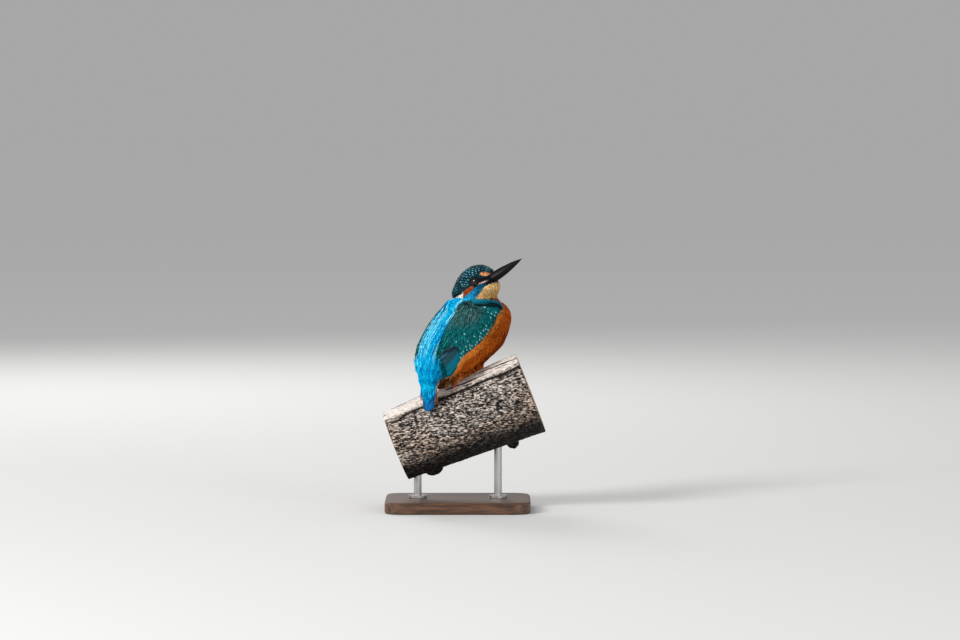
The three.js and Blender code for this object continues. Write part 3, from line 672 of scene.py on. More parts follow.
def lie(p):
    """The way feathers point: down the spine on the body, towards the tip on the wings, and back from the bill,
    over the crown and down the nape, on the head."""
    f, u = p[..., 0], p[..., 2]
    nearest = np.argmin((f[..., None] - spine_line[:, 0]) ** 2 + (u[..., None] - spine_line[:, 1]) ** 2, -1)
    down = -spine_way[nearest]
    body = np.stack([down[..., 0], 0 * f, down[..., 1]], -1)
    body = mix(body, np.array([-0.85, 0.0, -0.53]), smooth(u, 44, 54) * smooth(24 - f, 0, 6))
    edge = from_line(f, u, WING_LOWER)
    wing_f = between(between(-0.73, -0.45, smooth(edge, 3, 17)), -0.32, smooth(24 - u, 0, 12))
    wing_u = between(between(-0.68, -0.89, smooth(edge, 3, 17)), -0.95, smooth(24 - u, 0, 12))
    wing = np.stack([wing_f, 0 * f, wing_u], -1)
    body = np.where(on_wing(p)[..., None], wing, body)
    h = to_head(p)
    down_nape = smooth(-h[..., 0], 6, 22)
    throat = smooth(-h[..., 2], 4, 9) * smooth(h[..., 0], -8, 0)
    fall = 0.15 + 1.4 * down_nape + 0.7 * throat
    head = unit(np.stack([-1 + 0 * fall, 0 * fall, -fall], -1)) @ head_axes.T
    return mix(body, head, smooth(u, 63.5, 68))


def vanes(roots, length, width, rise, seed, low=0.12, grid=TUFT_GRID, splay=0.14, ragged=0.3, camber=0.2,
          uneven=0.12, way_at=lie, leaf=TUFT_LEAF):
    """Points of many vanes, shape (feathers, rows, columns, 3). Along the middle line each row steps on by the
    lie, turned by the feather's own splay, and is held over the skin at low + rise * share ** LIFT_POWER;
    across it, a row is as wide as the leaf is there and droops with the square of the distance from the
    middle, and its outer columns stop short by ragged amounts."""
    rng = np.random.default_rng(seed)
    rows, columns = grid
    count = len(roots)
    length, width, rise = (np.broadcast_to(value, count)[:, None] for value in (length, width, rise))
    turn = rng.normal(0, splay, count)[:, None]
    lift = (rng.uniform(-1, 1, count) * uneven + low)[:, None]
    across = np.linspace(-1, 1, columns)
    short = ragged * rng.uniform(0, 1, (count, columns)) * np.abs(across) ** 1.5
    p = roots
    made = []
    for share in np.linspace(0, 1, rows):
        height, out = over_skin(p)
        p = p + out * (lift + rise * share ** LIFT_POWER - height[:, None])
        way = way_at(p)
        way = unit(way - out * np.sum(way * out, -1, keepdims=True))
        side = np.cross(out, way)
        way = way * np.cos(turn) + side * np.sin(turn)
        side = np.cross(out, way)
        half = width * np.interp(share, *leaf)
        made.append(p[:, None] + side[:, None] * (half * across)[..., None]
                    - out[:, None] * (camber * half * across ** 2)[..., None]
                    - way[:, None] * (length * short * share ** 2)[..., None])
        p = p + way * length / (rows - 1)
    return np.stack(made, 1)


def ring_roots(centres, first, second, spacing, radius, seed, jitter):
    """Roots on the skin, from rings of rays cast in towards a line. first and second span each ring. Gives the
    roots, and for each its ring's number, its number in the ring and its angle in turns."""
    rng = np.random.default_rng(seed)
    count = int(round(2 * np.pi * radius / spacing))
    ring, number = np.meshgrid(np.arange(len(centres)), np.arange(count), indexing="ij")
    angle = (number + 0.5 * (ring % 2) + rng.uniform(-jitter, jitter, ring.shape)) / count * 2 * np.pi
    out = np.cos(angle)[..., None] * first[:, None] + np.sin(angle)[..., None] * second[:, None]
    start = centres[:, None] + out * (radius + 30)
    hit, met = cast_in(start.reshape(-1, 3), -out.reshape(-1, 3))
    turn = np.remainder(angle.ravel()[met] / (2 * np.pi), 1)
    return hit[met], ring.ravel()[met], number.ravel()[met], turn


def shaded(colours, points, seed, spread=0.12, root_painted_shade=0.55, edge_painted_shade=0.12):
    """One colour for each feather, spread over its vane with painted shade, darker at the root and along the
    edges where the feathers lie under and beside each other, and varied from feather to feather."""
    rng = np.random.default_rng(seed)
    count, rows, columns = points.shape[:3]
    along = between(root_painted_shade, 1.06, smooth(np.linspace(0, 1, rows), 0.1, 0.9))[None, :, None, None]
    beside = (1 - edge_painted_shade * np.abs(np.linspace(-1, 1, columns)))[None, None, :, None]
    own = np.exp(rng.normal(0, spread, count))[:, None, None, None]
    return np.broadcast_to(colours[:, None, None], points.shape) * along * beside * own


coat_material, coat_bsdf, coat_tree = shader("feathers")
coat_paint = coat_tree.nodes.new("ShaderNodeVertexColor")
coat_paint.layer_name = "plumage_and_painted_light"
barb_map = coat_tree.nodes.new("ShaderNodeUVMap")
barb_map.uv_map = "Vane"
barb_wave = coat_tree.nodes.new("ShaderNodeTexWave")
barb_wave.bands_direction = "DIAGONAL"
barb_wave.inputs["Scale"].default_value = 5.0
barb_wave.inputs["Distortion"].default_value = 2.0
barb_shade = coat_tree.nodes.new("ShaderNodeMapRange")
barb_shade.inputs["To Min"].default_value = 0.86
barb_shade.inputs["To Max"].default_value = 1.12
barb_tint = coat_tree.nodes.new("ShaderNodeVectorMath")
barb_tint.operation = "SCALE"
coat_tree.links.new(barb_map.outputs["UV"], barb_wave.inputs["Vector"])
coat_tree.links.new(barb_wave.outputs["Fac"], barb_shade.inputs["Value"])
coat_tree.links.new(coat_paint.outputs["Color"], barb_tint.inputs[0])
coat_tree.links.new(barb_shade.outputs["Result"], barb_tint.inputs["Scale"])
coat_tree.links.new(barb_tint.outputs["Vector"], coat_bsdf.inputs["Base Color"])
coat_bsdf.inputs["Roughness"].default_value = 0.6
coat_bsdf.inputs["Specular IOR Level"].default_value = 0.06


def coat(name, batches):
    """Joins batches of vanes, each (points, colours, places on the unwrap), in one piece with its two maps."""
    corners, loops_vane, loops_bake, first = [], [], [], 0
    spread = np.concatenate([places for _, _, places in batches])
    low, span = spread.min(0), np.maximum(np.ptp(spread, axis=0), 1e-6)
    for points, colours, places in batches:
        count, rows, columns = points.shape[:3]
        face = grid_corners(rows, columns)[:, ::-1]
        face = (face[None] + (np.arange(count) * rows * columns)[:, None, None]).reshape(-1, 4)
        share, across = np.meshgrid(np.linspace(0, 1, rows), np.linspace(0, 1, columns), indexing="ij")
        vane = np.broadcast_to(np.stack([across, share], -1), (count, rows, columns, 2)).reshape(-1, 2)
        patch = ((places - low) / span)[:, None, None] * 0.994 + 0.001
        patch = (patch + BAKE_PATCH * np.stack([across, share], -1)).reshape(-1, 2)
        corners.append(face + first)
        loops_vane.append(vane[face.ravel()])
        loops_bake.append(patch[face.ravel()])
        first += count * rows * columns
    places_all = np.concatenate([points.reshape(-1, 3) for points, _, _ in batches])
    piece = new_piece(name, to_world(places_all), np.concatenate(corners), coat_material)
    colour_points(piece, "plumage_and_painted_light", np.concatenate([colours.reshape(-1, 3) for _, colours, _ in batches]))
    for map_name, values in (("Vane", loops_vane), ("OFBake", loops_bake)):
        layer = piece.data.uv_layers.new(name=map_name)
        layer.data.foreach_set("uv", np.concatenate(values).astype(np.float32).ravel())
    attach(piece, "root")
    return piece


# ---------------------------------------------------------------------------------------------------------
# The body's small feathers: silky and close over breast and belly, where the lowest hang down to the bough
# over the feet; long parallel plumes in the azure stripe from mantle to rump; and long soft coverts that run
# on over both faces of the tail's root.
BODY_RING = 0.78
BODY_SPACING = 0.82
BODY_RADIUS = 21.0  # of the rings that the rays start from
BREAST_FULL = 2.4  # how far the breast is fluffed out
PLUME_GRID = (7, 3)

body_length = np.linalg.norm(np.diff(spine_line, axis=0), axis=1)
body_along = np.concatenate([[0], np.cumsum(body_length)])
ring_at = np.arange(0, body_along[-1], BODY_RING)
ring_centre = np.stack([np.interp(ring_at, body_along, spine_line[:, 0]), 0 * ring_at,
                        np.interp(ring_at, body_along, spine_line[:, 1])], -1)
ring_way = np.stack([np.interp(ring_at, body_along, spine_way[:, 0]), 0 * ring_at,
                     np.interp(ring_at, body_along, spine_way[:, 1])], -1)
ring_way = unit(ring_way + np.array([0.55, 0.0, 0.83]) * smooth(ring_centre[:, 2], 0, 16)[:, None])
ring_back = np.stack([-ring_way[:, 2], 0 * ring_at, ring_way[:, 0]], -1)
ring_right = np.broadcast_to([0.0, -1.0, 0.0], ring_back.shape)
body_roots, body_ring, _, body_turn = ring_roots(ring_centre, ring_back, ring_right, BODY_SPACING, BODY_RADIUS,
                                                 seed=41, jitter=0.45)
body_places = np.stack([body_turn, body_ring / len(ring_at)], -1)
past = past_stripe(body_roots)
fill = on_wing(body_roots)
fill_roots = body_roots[fill]
body_skin = ~fill | ((past < 6) & (on_back(body_roots) > 0.5) & (body_roots[:, 2] < 45))
body_skin &= body_roots[:, 2] < np.where(past < 0, 69, 66)
body_skin &= body_roots[:, 2] > -5 + 0.6 * np.abs(body_roots[:, 1])
wing_front = from_line(body_roots[:, 0], body_roots[:, 2], WING_EDGE[2:5])
body_skin &= (wing_front > 2.2) | (np.abs(body_roots[:, 1]) < 8)
body_roots, body_places = body_roots[body_skin], body_places[body_skin]
is_back = (on_back(body_roots) > 0.5) & (past_stripe(body_roots) < 1.5)


def hangs(p):
    """1 where the belly faces the bough closely, so that its feathers hang down to it."""
    _, out = over_skin(p)
    least = 6.0 + 5.5 * smooth(5 - p[..., 0], 0, 8)
    near = smooth(least - (p[..., 2] - bough_under(p)), 0, 2) * smooth(p[..., 0], -21, -16)
    return near * smooth(-out[..., 2], 0.1, 0.6)


def hanging(p):
    """The lie of the body's feathers, turned to hang straight down over the bough."""
    return unit(mix(lie(p), np.array([-0.25, 0.0, -1.0]), hangs(p)))


def body_batch(chosen, length, width, rise, seed, **shape):
    """Tufts on the chosen roots, coloured by the marking two thirds of the way along them."""
    points = vanes(body_roots[chosen], length, width, rise, seed, way_at=hanging, **shape)
    seen = points[:, (points.shape[1] * 2) // 3, points.shape[2] // 2]
    return points, seen, body_places[chosen]


under = ~is_back
roots = body_roots[under]
drop = (roots[:, 2] - bough_under(roots) - 0.5) * hangs(roots)
under_length = np.maximum(5.2 + 3.5 * smooth(6 - roots[:, 2], 0, 8), drop * 1.1)
off_wing = from_line(roots[:, 0], roots[:, 2], WING_LOWER)
full = smooth(roots[:, 2], 20, 34) * smooth(62 - roots[:, 2], 0, 10) * smooth(off_wing, 1, 9)
full *= 1 - on_back(roots)
vent = smooth(4 - roots[:, 2], 0, 6) * smooth(-12 - roots[:, 0], 0, 5)
under_length = under_length + 3.0 * vent
loose = hangs(roots)
under_width = 0.46 + 0.1 * full - 0.15 * loose - 0.12 * vent
under_rise = 0.62 + 0.75 * drop + 1.2 * vent
points, seen, places = body_batch(under, under_length, under_width, under_rise, 42,
                                  low=0.12 + BREAST_FULL * full + 0.9 * vent,
                                  splay=0.07 + 0.12 * loose + 0.08 * vent,
                                  uneven=0.07 + 0.4 * loose + 0.35 * vent, ragged=0.5)
under_colours = shaded(plumage_and_painted_light(seen), points, 43, spread=0.06, root_painted_shade=0.88, edge_painted_shade=0.06)
right_side = roots[:, 1] < 0
for side_name, half in (("right", right_side), ("left", ~right_side)):
    coat("feathers_underparts_" + side_name, [(points[half], under_colours[half], places[half])])

plume_length = 10.0 - 2.0 * smooth(body_roots[is_back][:, 2], 40, 60)
plume_rise = between(0.6, 1.3, smooth(body_roots[is_back][:, 2], 8, 20))
points, seen, places = body_batch(is_back, plume_length, 0.42, plume_rise, 44, splay=0.07, uneven=0.25,
                                  ragged=0.6, grid=PLUME_GRID)
waver = ripple(seen[:, 1] / 5, seen[:, 2] / 9, 48)
streak = ripple(seen[:, 1] / 1.1 + 0.9 * waver, seen[:, 2] / 13, 45)
streak = streak + 0.4 * ripple(seen[:, 1] / 0.6, seen[:, 2] / 7, 47)
back_colours = plumage_and_painted_light(seen)
is_azure = smooth(back_colours[:, 2] - back_colours[:, 0], 0.1, 0.3)
# paler streaks: the plumes' own varied azure, with painted sheen along the back
pale_streak_and_sheen = smooth(streak, 0.0, 0.7) * is_azure * smooth(seen[:, 2], 4, 30)
back_colours = mix(back_colours, AZURE_PALE, pale_streak_and_sheen * 0.9)
back_colours = mix(back_colours, AZURE_DEEP, smooth(-streak, 0.1, 0.8) * is_azure * 0.75)
back_colours = shaded(back_colours, points, 46, spread=0.08, root_painted_shade=0.75)
coat("feathers_back", [(points, back_colours, places)])

# ---------------------------------------------------------------------------------------------------------
# The head's feathers: tiny on the face, a little longer down the nape and throat. On the crown every other
# one ends in a pale azure spot, which makes the bars; none lies over the eyes or the bill.
CROWN_TUFTS = (1.0, 1.05, 1.0)  # step between rings, spacing round them, breadth
FACE_TUFTS = (0.75, 0.75, 0.72)
HEAD_RADIUS = 12.5  # of the rings that the rays start from
HEAD_ENDS = (-27.0, 16.0)  # where the rings start and stop, in the head's frame
CROWN_FULL = 1.5  # how far crown and nape are fluffed out
EYE_SIDE = 7.74  # how far the ball's middle is from the middle of the head
EYE_CLEAR = 3.1  # bare round the eye
SPOT_BLUE = linear("2ca8dc")
THROAT_HEIGHTS, THROAT_RING, THROAT_SPACING, THROAT_RADIUS = (60.0, 81.0), 1.0, 0.85, 17.0


def head_batch(roots, ring, number, places, seed, broad):
    """Short tufts, trimmed in front of the eyes. On the crown every other one has a pale spot on the outer part
    of its middle line."""
    h = to_head(roots)
    size = smooth(13.5 - h[:, 0], 0.0, 18.0)
    length = 1.5 + 2.6 * size
    ahead = h[:, 0] - np.sqrt(np.clip(EYE_CLEAR ** 2 - h[:, 2] ** 2, 0, None))
    before_eye = (np.abs(h[:, 2]) < EYE_CLEAR) & (h[:, 0] > 0) & (np.abs(h[:, 1]) > 4)
    length = np.where(before_eye, np.minimum(length, ahead - 0.1), length)
    clear = EYE_CLEAR - 0.55 * smooth(-h[:, 0], 0.0, 1.5)
    kept = ~((np.hypot(h[:, 0], h[:, 2]) < clear) & (np.abs(h[:, 1]) > 5)) & (length > 0.35)
    kept &= h[:, 0] < 12.4 + 3.4 * smooth(-h[:, 2], 3.4, 4.8) + 1.6 * smooth(h[:, 2], 2.0, 3.2)
    roots, ring, number, places, h = roots[kept], ring[kept], number[kept], places[kept], h[kept]
    length, size = length[kept], size[kept]
    full_crown = smooth(h[:, 2], 1.5, 6.5) * smooth(11.5 - h[:, 0], 0, 4)
    full_nape = smooth(-h[:, 0], 8, 15) * smooth(h[:, 2], -4, 2)
    full = np.clip(full_crown + full_nape, 0, 1)
    width, rise = broad * (0.42 + 0.32 * size), 0.28 + 0.4 * size + 0.3 * full
    points = vanes(roots, length + 0.5 * full, width, rise, seed,
                   low=0.08 + CROWN_FULL * full, splay=0.08, uneven=0.05 + 0.1 * full, ragged=0.25)
    seen = points[:, 3, 1]
    colours = shaded(plumage_and_painted_light(seen), points, seed + 1, spread=0.1)
    h = to_head(seen)
    ear_top = np.interp(h[:, 0], (-14.0, -9.4, -5.3, 0, 4), (-2.4, -0.8, -0.3, 4.0, 4.4))
    crown = smooth(h[:, 2] - ear_top, 0.0, 1.0) * (seen[:, 2] > 64.8) * smooth(11.5 - h[:, 0], 0, 1)
    from_buff = np.hypot((h[:, 0] - 8.2) / 3.1, (h[:, 2] - 2.9 + 0.42 * (h[:, 0] - 8.2)) / 1.55)
    crown *= 1 - smooth(1.25 - from_buff, -0.1, 0.1) * (np.abs(h[:, 1]) > 2)
    spotted = (ring % 2 == 0) & ((number + ring // 2) % 2 == 0)
    strength = crown * spotted * np.random.default_rng(seed + 2).uniform(0.75, 1.0, len(seen))
    strength *= 1 - 0.65 * smooth(-h[:, 0], 7, 15)
    spot = mix(SPOT, SPOT_BLUE, smooth(h[:, 0], -12, -2) * smooth(2 - h[:, 0], 0, 4) * 0.5)
    tip = smooth(np.linspace(0, 1, points.shape[1]), 0.5, 0.8)[:, None] * np.array([0.0, 1.0, 0.0])
    return points, mix(colours, spot[:, None, None], strength[:, None, None] * tip), places


def head_rings(step, spacing, seed):
    """Roots on rings round the head's long axis, and their places on its unwrap."""
    at = np.arange(*HEAD_ENDS, step)
    centre = from_head(np.stack([at, 0 * at, 0.03 * at - 0.5], -1))
    up = np.broadcast_to(np.array([0.0, 0.0, 1.0]) @ head_axes.T, centre.shape)
    left = np.broadcast_to(np.array([0.0, 1.0, 0.0]) @ head_axes.T, centre.shape)
    roots, ring, number, turn = ring_roots(centre, up, left, spacing, HEAD_RADIUS, seed, jitter=0.12)
    h = to_head(roots)
    near = (roots[:, 2] > 64.3) & (np.linalg.norm(h, axis=1) < 30)
    crown = h[:, 2] > np.interp(h[:, 0], (-14.0, -9.4, -5.3, 0, 4), (-4.4, -2.8, -2.3, 1.0, 1.4))
    return roots, ring, number, np.stack([turn, ring / len(at)], -1), near, crown


head_batches = []
for (step, spacing, broad), seed, want_crown in ((CROWN_TUFTS, 51, True), (FACE_TUFTS, 61, False)):
    roots, ring, number, places, near, crown = head_rings(step, spacing, seed)
    chosen = near & (crown == want_crown)
    head_batches.append(head_batch(roots[chosen], ring[chosen], number[chosen], places[chosen], seed + 1, broad))
coat("feathers_head", head_batches)

neck_at = np.arange(*THROAT_HEIGHTS, THROAT_RING)
neck_share = (neck_at - THROAT_HEIGHTS[0]) / 16.0
neck_centre = np.stack([31.0 - 0.5 * neck_share, -7.0 * neck_share, neck_at], -1)
neck_first = np.broadcast_to([1.0, 0.0, 0.0], neck_centre.shape)
neck_second = np.broadcast_to([0.0, -1.0, 0.0], neck_centre.shape)
roots, ring, _, turn = ring_roots(neck_centre, neck_first, neck_second, THROAT_SPACING, THROAT_RADIUS,
                                  seed=55, jitter=0.4)
neck_h = to_head(roots)
chosen = (roots[:, 2] > 63) & (neck_h[:, 2] < -3.5) & (roots[:, 2] < np.where(neck_h[:, 0] > 10, 80.5, 77))
throat_length = between(4.0, 2.2, smooth(roots[chosen][:, 2], 75, 78))
points = vanes(roots[chosen], throat_length, 0.45, 0.6, 56, splay=0.1, uneven=0.06, ragged=0.5)
throat_colours = shaded(plumage_and_painted_light(points[:, 3, 1]), points, 57, spread=0.08)
throat_places = np.stack([turn, ring / len(neck_at)], -1)[chosen]
coat("feathers_throat", [(points, throat_colours, throat_places)])

# ---------------------------------------------------------------------------------------------------------
# The folded wings: rows of coverts whose tips run along the wing's lower edge, the lowest with pale azure
# spots, and above them long loose scapulars, grey-green over the shoulder. From under both the quills fan to
# the wing's tip, and a blue-teal strap of small feathers covers the bend of the wing.
COVERT_GRID = (10, 5)
COVERT_LINE = ((34.0, 55.0), (-10.0, 20.0))  # forward, up: straight line that the rows of tips run along
COVERT_BOW = 4.7  # how far the lower rows bulge under that line
SPOT_CHANCE = (0.9, 0.85, 0.6, 0.3)  # row by row from the lower edge
QUILL_AREA = np.array([  # where the quills are bare: forward, up
    (-34, 24), (-24.8, 24.7), (-18.9, 26.8), (-14.8, 28.8), (-11.5, 25.5), (-10.5, 21.5), (-12.8, 18.5), (-12, 8),
    (-17.5, -2), (-34, 0)])
SCAPULAR_END = QUILL_AREA[1:5]
LOWER_COVERTS = {"rows": 5, "row_step": 2.5, "pitch": 2.9, "first_off": 1.1, "length": 5.2, "width": 1.45,
                 "rise": 0.6, "low": 0.62, "loose": 0.19, "grid": COVERT_GRID, "splay": 0.05, "ragged": 0.1,
                 "uneven": 0.05, "leaf": ((0, 0.25, 0.7, 0.9, 0.97, 1), (0.6, 1, 1, 0.72, 0.4, 0.1))}
SCAPULARS = {"rows": 28, "row_step": 1.5, "pitch": 1.25, "first_off": 9.5, "length": 8.0, "width": 0.6,
             "rise": 0.75, "low": 0.75, "loose": 0.11, "grid": PLUME_GRID, "splay": 0.09, "ragged": 0.35,
             "uneven": 0.14, "camber": 0.3}
QUILLS, QUILL_GRID = 11, (20, 15)
QUILL_LEAF = ((0, 0.15, 0.8, 0.93, 0.98, 1), (0.5, 1, 0.95, 0.7, 0.4, 0.12))
STRAP_LINE = ((18, 62.3), (22, 61.9), (28, 61.2), (35, 60.2), (38.5, 58.8), (40.5, 56.4))
STRAP_TEAL, TERTIAL_GREY, QUILL_TEAL = linear("0b6478"), linear("264b58"), linear("06869e")
PALE_SHAFT = linear("3f9c9c")
# the three lowest rows, darkening to near-black, are painted shadow under the band; the row at 1.0 is a painted
# highlight along its top
STRAP_ROWS = (  # how far each row is above the line, how high it is held, its colour
    (-2.6, 1.2, linear("04181c")), (-1.9, 1.3, linear("06272e")), (-1.1, 1.5, linear("08485a")),
    (-0.4, 1.6, STRAP_TEAL), (0.3, 1.5, STRAP_TEAL), (1.0, 1.3, linear("127c92")), (1.7, 0.9, STRAP_TEAL))
STRAP_COUNT = 40  # feathers in a row
FLANK_START = 42.0  # how far out the rays start


def on_flank(f, u, side):
    """Places on the skin at (forward, up) in the side view, and whether there is skin there."""
    start = np.stack([f, np.full(np.shape(f), side * FLANK_START), u], -1)
    return cast_in(start, np.broadcast_to([0.0, -side, 0.0], start.shape))


def wing_places(roots):
    """The wing's unwrap: across it over down it."""
    return np.clip(np.stack([(roots[:, 0] + 32) / 74, (roots[:, 2] + 2) / 68], -1), 0, 1)


def coverts(side, seed, rows, row_step, pitch, first_off, length, width, rise, low, loose, **shape):
    """Rows of feathers whose tips stand, staggered, on lines parallel to the wing's lower edge, and whose roots
    lie upstream of them. None ends over the bare quills or past the stripe on the back."""
    rng = np.random.default_rng(seed)
    start, end = np.array(COVERT_LINE)
    way = (end - start) / np.linalg.norm(end - start)
    inward = np.array([way[1], -way[0]])
    row, number = np.meshgrid(np.arange(rows), np.arange(int(72 / pitch)), indexing="ij")
    off = row * row_step + first_off + rng.uniform(-loose, loose, row.shape) * row_step * (1 + row / 4)
    along = (number + 0.5 * (row % 2)) * pitch - 4 + rng.uniform(-loose, loose, row.shape) * pitch * (1 + row / 4)
    bow = COVERT_BOW * np.sin(np.pi * np.clip(along / 56, 0, 1)) * smooth(18 - off, 0, 16)
    f = start[0] + way[0] * along + inward[0] * (off - bow)
    u = start[1] + way[1] * along + inward[1] * (off - bow)
    down = lie(np.stack([f, np.full(f.shape, side * 20.0), u], -1))
    own = length * rng.uniform(0.88, 1.1, f.shape)
    root_f, root_u = f - down[..., 0] * own, u - down[..., 2] * own
    top = np.interp(root_f, *zip(*STRAP_LINE)) - 0.3 if side < 0 else 59
    kept = inside(f, u, WING_EDGE) & ~inside(f, u, QUILL_AREA) & (root_u < top)
    roots, met = on_flank(root_f[kept], root_u[kept], side)
    met &= past_stripe(roots) > (-2.0 if side < 0 else 0.5)
    roots, row, own = roots[met], row[kept][met], own[kept][met]
    points = vanes(roots, own, width, rise, seed + 1, low=low, **shape)
    return points, row, rng, roots


def spotted_coverts(side, seed):
    """The lower rows, each feather round-tipped, many with a small pale spot just before the tip."""
    points, row, rng, roots = coverts(side, seed, **LOWER_COVERTS)
    colours = shaded(wing_colours(points[:, 7, 2]), points, seed + 2, spread=0.08, root_painted_shade=0.55, edge_painted_shade=0.2)
    shares = np.linspace(0, 1, points.shape[1])[None, :, None]
    beside = np.abs(np.linspace(-1, 1, points.shape[2]))[None, None, :]
    chance = np.interp(row, np.arange(len(SPOT_CHANCE)), SPOT_CHANCE)
    bright = rng.uniform(0.75, 1, len(roots)) * (rng.uniform(0, 1, len(roots)) < chance)
    spot = smooth(shares, 0.72, 0.84) * smooth(0.99 - shares, 0.0, 0.08) * smooth(0.7 - beside, 0, 0.35)
    return points, mix(colours, SPOT, spot * bright[:, None, None]), wing_places(roots)


def scapulars(side, seed):
    """The long narrow feathers above, in fine streaks, a few with a pale shaft."""
    points, _, rng, roots = coverts(side, seed, **SCAPULARS)
    hue = wing_colours(points[:, 5, 1])
    pale = (rng.uniform(0, 1, len(roots)) > 0.93) * rng.uniform(0.2, 0.6, len(roots))
    hue = mix(hue, mix(PALE_SHAFT, hue, 0.3), pale)
    colours = shaded(hue, points, seed + 2, spread=0.14, root_painted_shade=0.6, edge_painted_shade=0.28)
    return points, colours, wing_places(roots)


def under_coat(side, seed):
    """Small tufts all over the wing, which fill in between the larger feathers."""
    roots = fill_roots[fill_roots[:, 1] * side > 0]
    points = vanes(roots, 4.2, 0.62, 0.4, seed, splay=0.1, uneven=0.05, ragged=0.4)
    colours = shaded(wing_colours(points[:, 3, 1]), points, seed + 1, spread=0.1, root_painted_shade=0.6)
    return points, colours, wing_places(roots)


def quills(side, seed):
    """Flight feathers side by side from the outermost along the lower edge to the innermost against the rump,
    each aimed at its tip and lying on the one before. They carry painted shadow where they come from under the
    scapulars, and painted shade towards the edge that the next one covers."""
    s = np.linspace(0, 1, QUILLS)
    root_f, root_u = 1.0 - 9 * s, 29.0 + 8 * s
    tip_f, tip_u = -16.2 - 8.6 * s ** 0.8, 4.0 + 15 * s
    roots, _ = on_flank(root_f, root_u, side)
    tips, _ = on_flank(tip_f, tip_u, side)
    aim = tips + 0.4 * (tips - roots)
    sag = np.array([-1.0, 0.0, 0.0])

    def towards_tip(p):
        """From each feather to its aim, bowed a little backwards."""
        return unit(aim - p) + sag * 0.12

    length = np.linalg.norm(tips - roots, axis=1) * 1.02
    points = vanes(roots, length, 2.0, 0.45, seed, low=0.1 + 0.07 * np.arange(QUILLS), grid=QUILL_GRID, splay=0.0,
                   ragged=0.03, uneven=0.0, camber=0.22, way_at=towards_tip, leaf=QUILL_LEAF)
    hue = mix(QUILL_TEAL, TERTIAL_GREY, smooth(s, 0.45, 0.75))
    colours = shaded(hue, points, seed + 1, spread=0.1, root_painted_shade=0.9, edge_painted_shade=0.0)
    across = np.linspace(-1, 1, points.shape[2])[None, None, :] * side
    # a pale rim along each feather's open edge, and painted shade towards the edge that the next feather covers
    rim = 1.15 + 0.5 * np.exp(-((across + 0.93) / 0.1) ** 2) - 0.7 * smooth(across, -0.7, -0.05)
    # painted shadow: the quills darkened just below where the scapulars end over them
    from_end = from_line(points[..., 0], points[..., 2], SCAPULAR_END)
    colours = colours * (rim * (1 - 0.7 * np.exp(-(from_end / 1.0) ** 2)))[..., None]
    return points, colours, wing_places(points[:, 6, 7])


def strap(side, seed):
    """The bend of the wing: rows of small feathers laid back along a low band, each row held at its own height
    to round the band, with a painted shadow line under it and a painted highlight along its top."""
    line = np.array(STRAP_LINE, float)
    batches = []
    for off, raised, hue in STRAP_ROWS:
        share = np.linspace(0, len(line) - 1.01, STRAP_COUNT)
        f = np.interp(share, np.arange(len(line)), line[:, 0])
        u = np.interp(share, np.arange(len(line)), line[:, 1])
        slant = np.gradient(u) / np.hypot(np.gradient(f), np.gradient(u))
        run = np.gradient(f) / np.hypot(np.gradient(f), np.gradient(u))
        roots, met = on_flank(f - slant * off, u + run * off, side)
        met &= (np.abs(roots[:, 1]) > 8) & (f > (26 if side > 0 else 0))
        back = np.stack([-run, 0 * run, -slant], -1)[met]
        points = vanes(roots[met], 3.6, 0.62, 0.3, seed, low=raised, splay=0.06, uneven=0.1, ragged=0.4,
                       way_at=lambda p, back=back: back)
        hues = np.broadcast_to(hue, (len(points), 3))
        colours = shaded(hues, points, seed + 1, spread=0.12, root_painted_shade=0.75)
        batches.append((points, colours, wing_places(points[:, 2, 1])))
        seed += 5
    return batches


for side_name, side in (("right", -1.0), ("left", 1.0)):
    coat("feathers_wing_" + side_name, [under_coat(side, 66), quills(side, 81), spotted_coverts(side, 71),
                                        scapulars(side, 75), *strap(side, 91)])

# ---------------------------------------------------------------------------------------------------------
# The tail: twelve short stiff feathers, closed like a fan's sticks, the middle pair on top and deep blue.
TAIL_ROOT = (-25.2, 1.5)
TAIL_LENGTH = 22.2
TAIL_PITCH = 0.95
TAIL_MIDDLE, TAIL_OUTER = linear("04588e"), linear("033c62")

across_tail = np.arange(-5.5, 6.0)
share = np.linspace(0, 1, 14)[None, :, None]
beside = np.linspace(-1, 1, 5)[None, None, :]
place = across_tail[:, None, None]
leaf = np.interp(share, (0, 0.2, 0.8, 0.94, 1), (0.6, 1, 1, 0.75, 0.2))
tail_side = place * TAIL_PITCH * (0.95 - 0.18 * share) + 1.7 * leaf * beside
tail_deep = np.abs(place) * 0.17 + 0.25 * beside ** 2 * leaf + 1.6 * share * (1 - share)
tail_down = TAIL_LENGTH * share * (1 - 0.012 * np.abs(place)) - 0.8 * share ** 6 * beside ** 2
tail_points = np.stack(np.broadcast_arrays(TAIL_ROOT[0] - 1.3 + tail_deep, tail_side,
                                           TAIL_ROOT[1] - tail_down), -1)
tail_hue = mix(TAIL_MIDDLE, TAIL_OUTER, np.abs(across_tail) / 5.5)
tail_colours = shaded(tail_hue, tail_points, 101, spread=0.1, root_painted_shade=0.9, edge_painted_shade=0.1)
tail_colours = tail_colours * (1 - 0.4 * np.exp(-(beside / 0.15) ** 2))[..., None]
tail_batch = (tail_points[:, :, ::-1], tail_colours[:, :, ::-1],
              np.stack([(across_tail + 6) / 12, np.abs(across_tail) / 6], -1))
tail = coat("feathers_tail", [tail_batch])
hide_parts("tail")

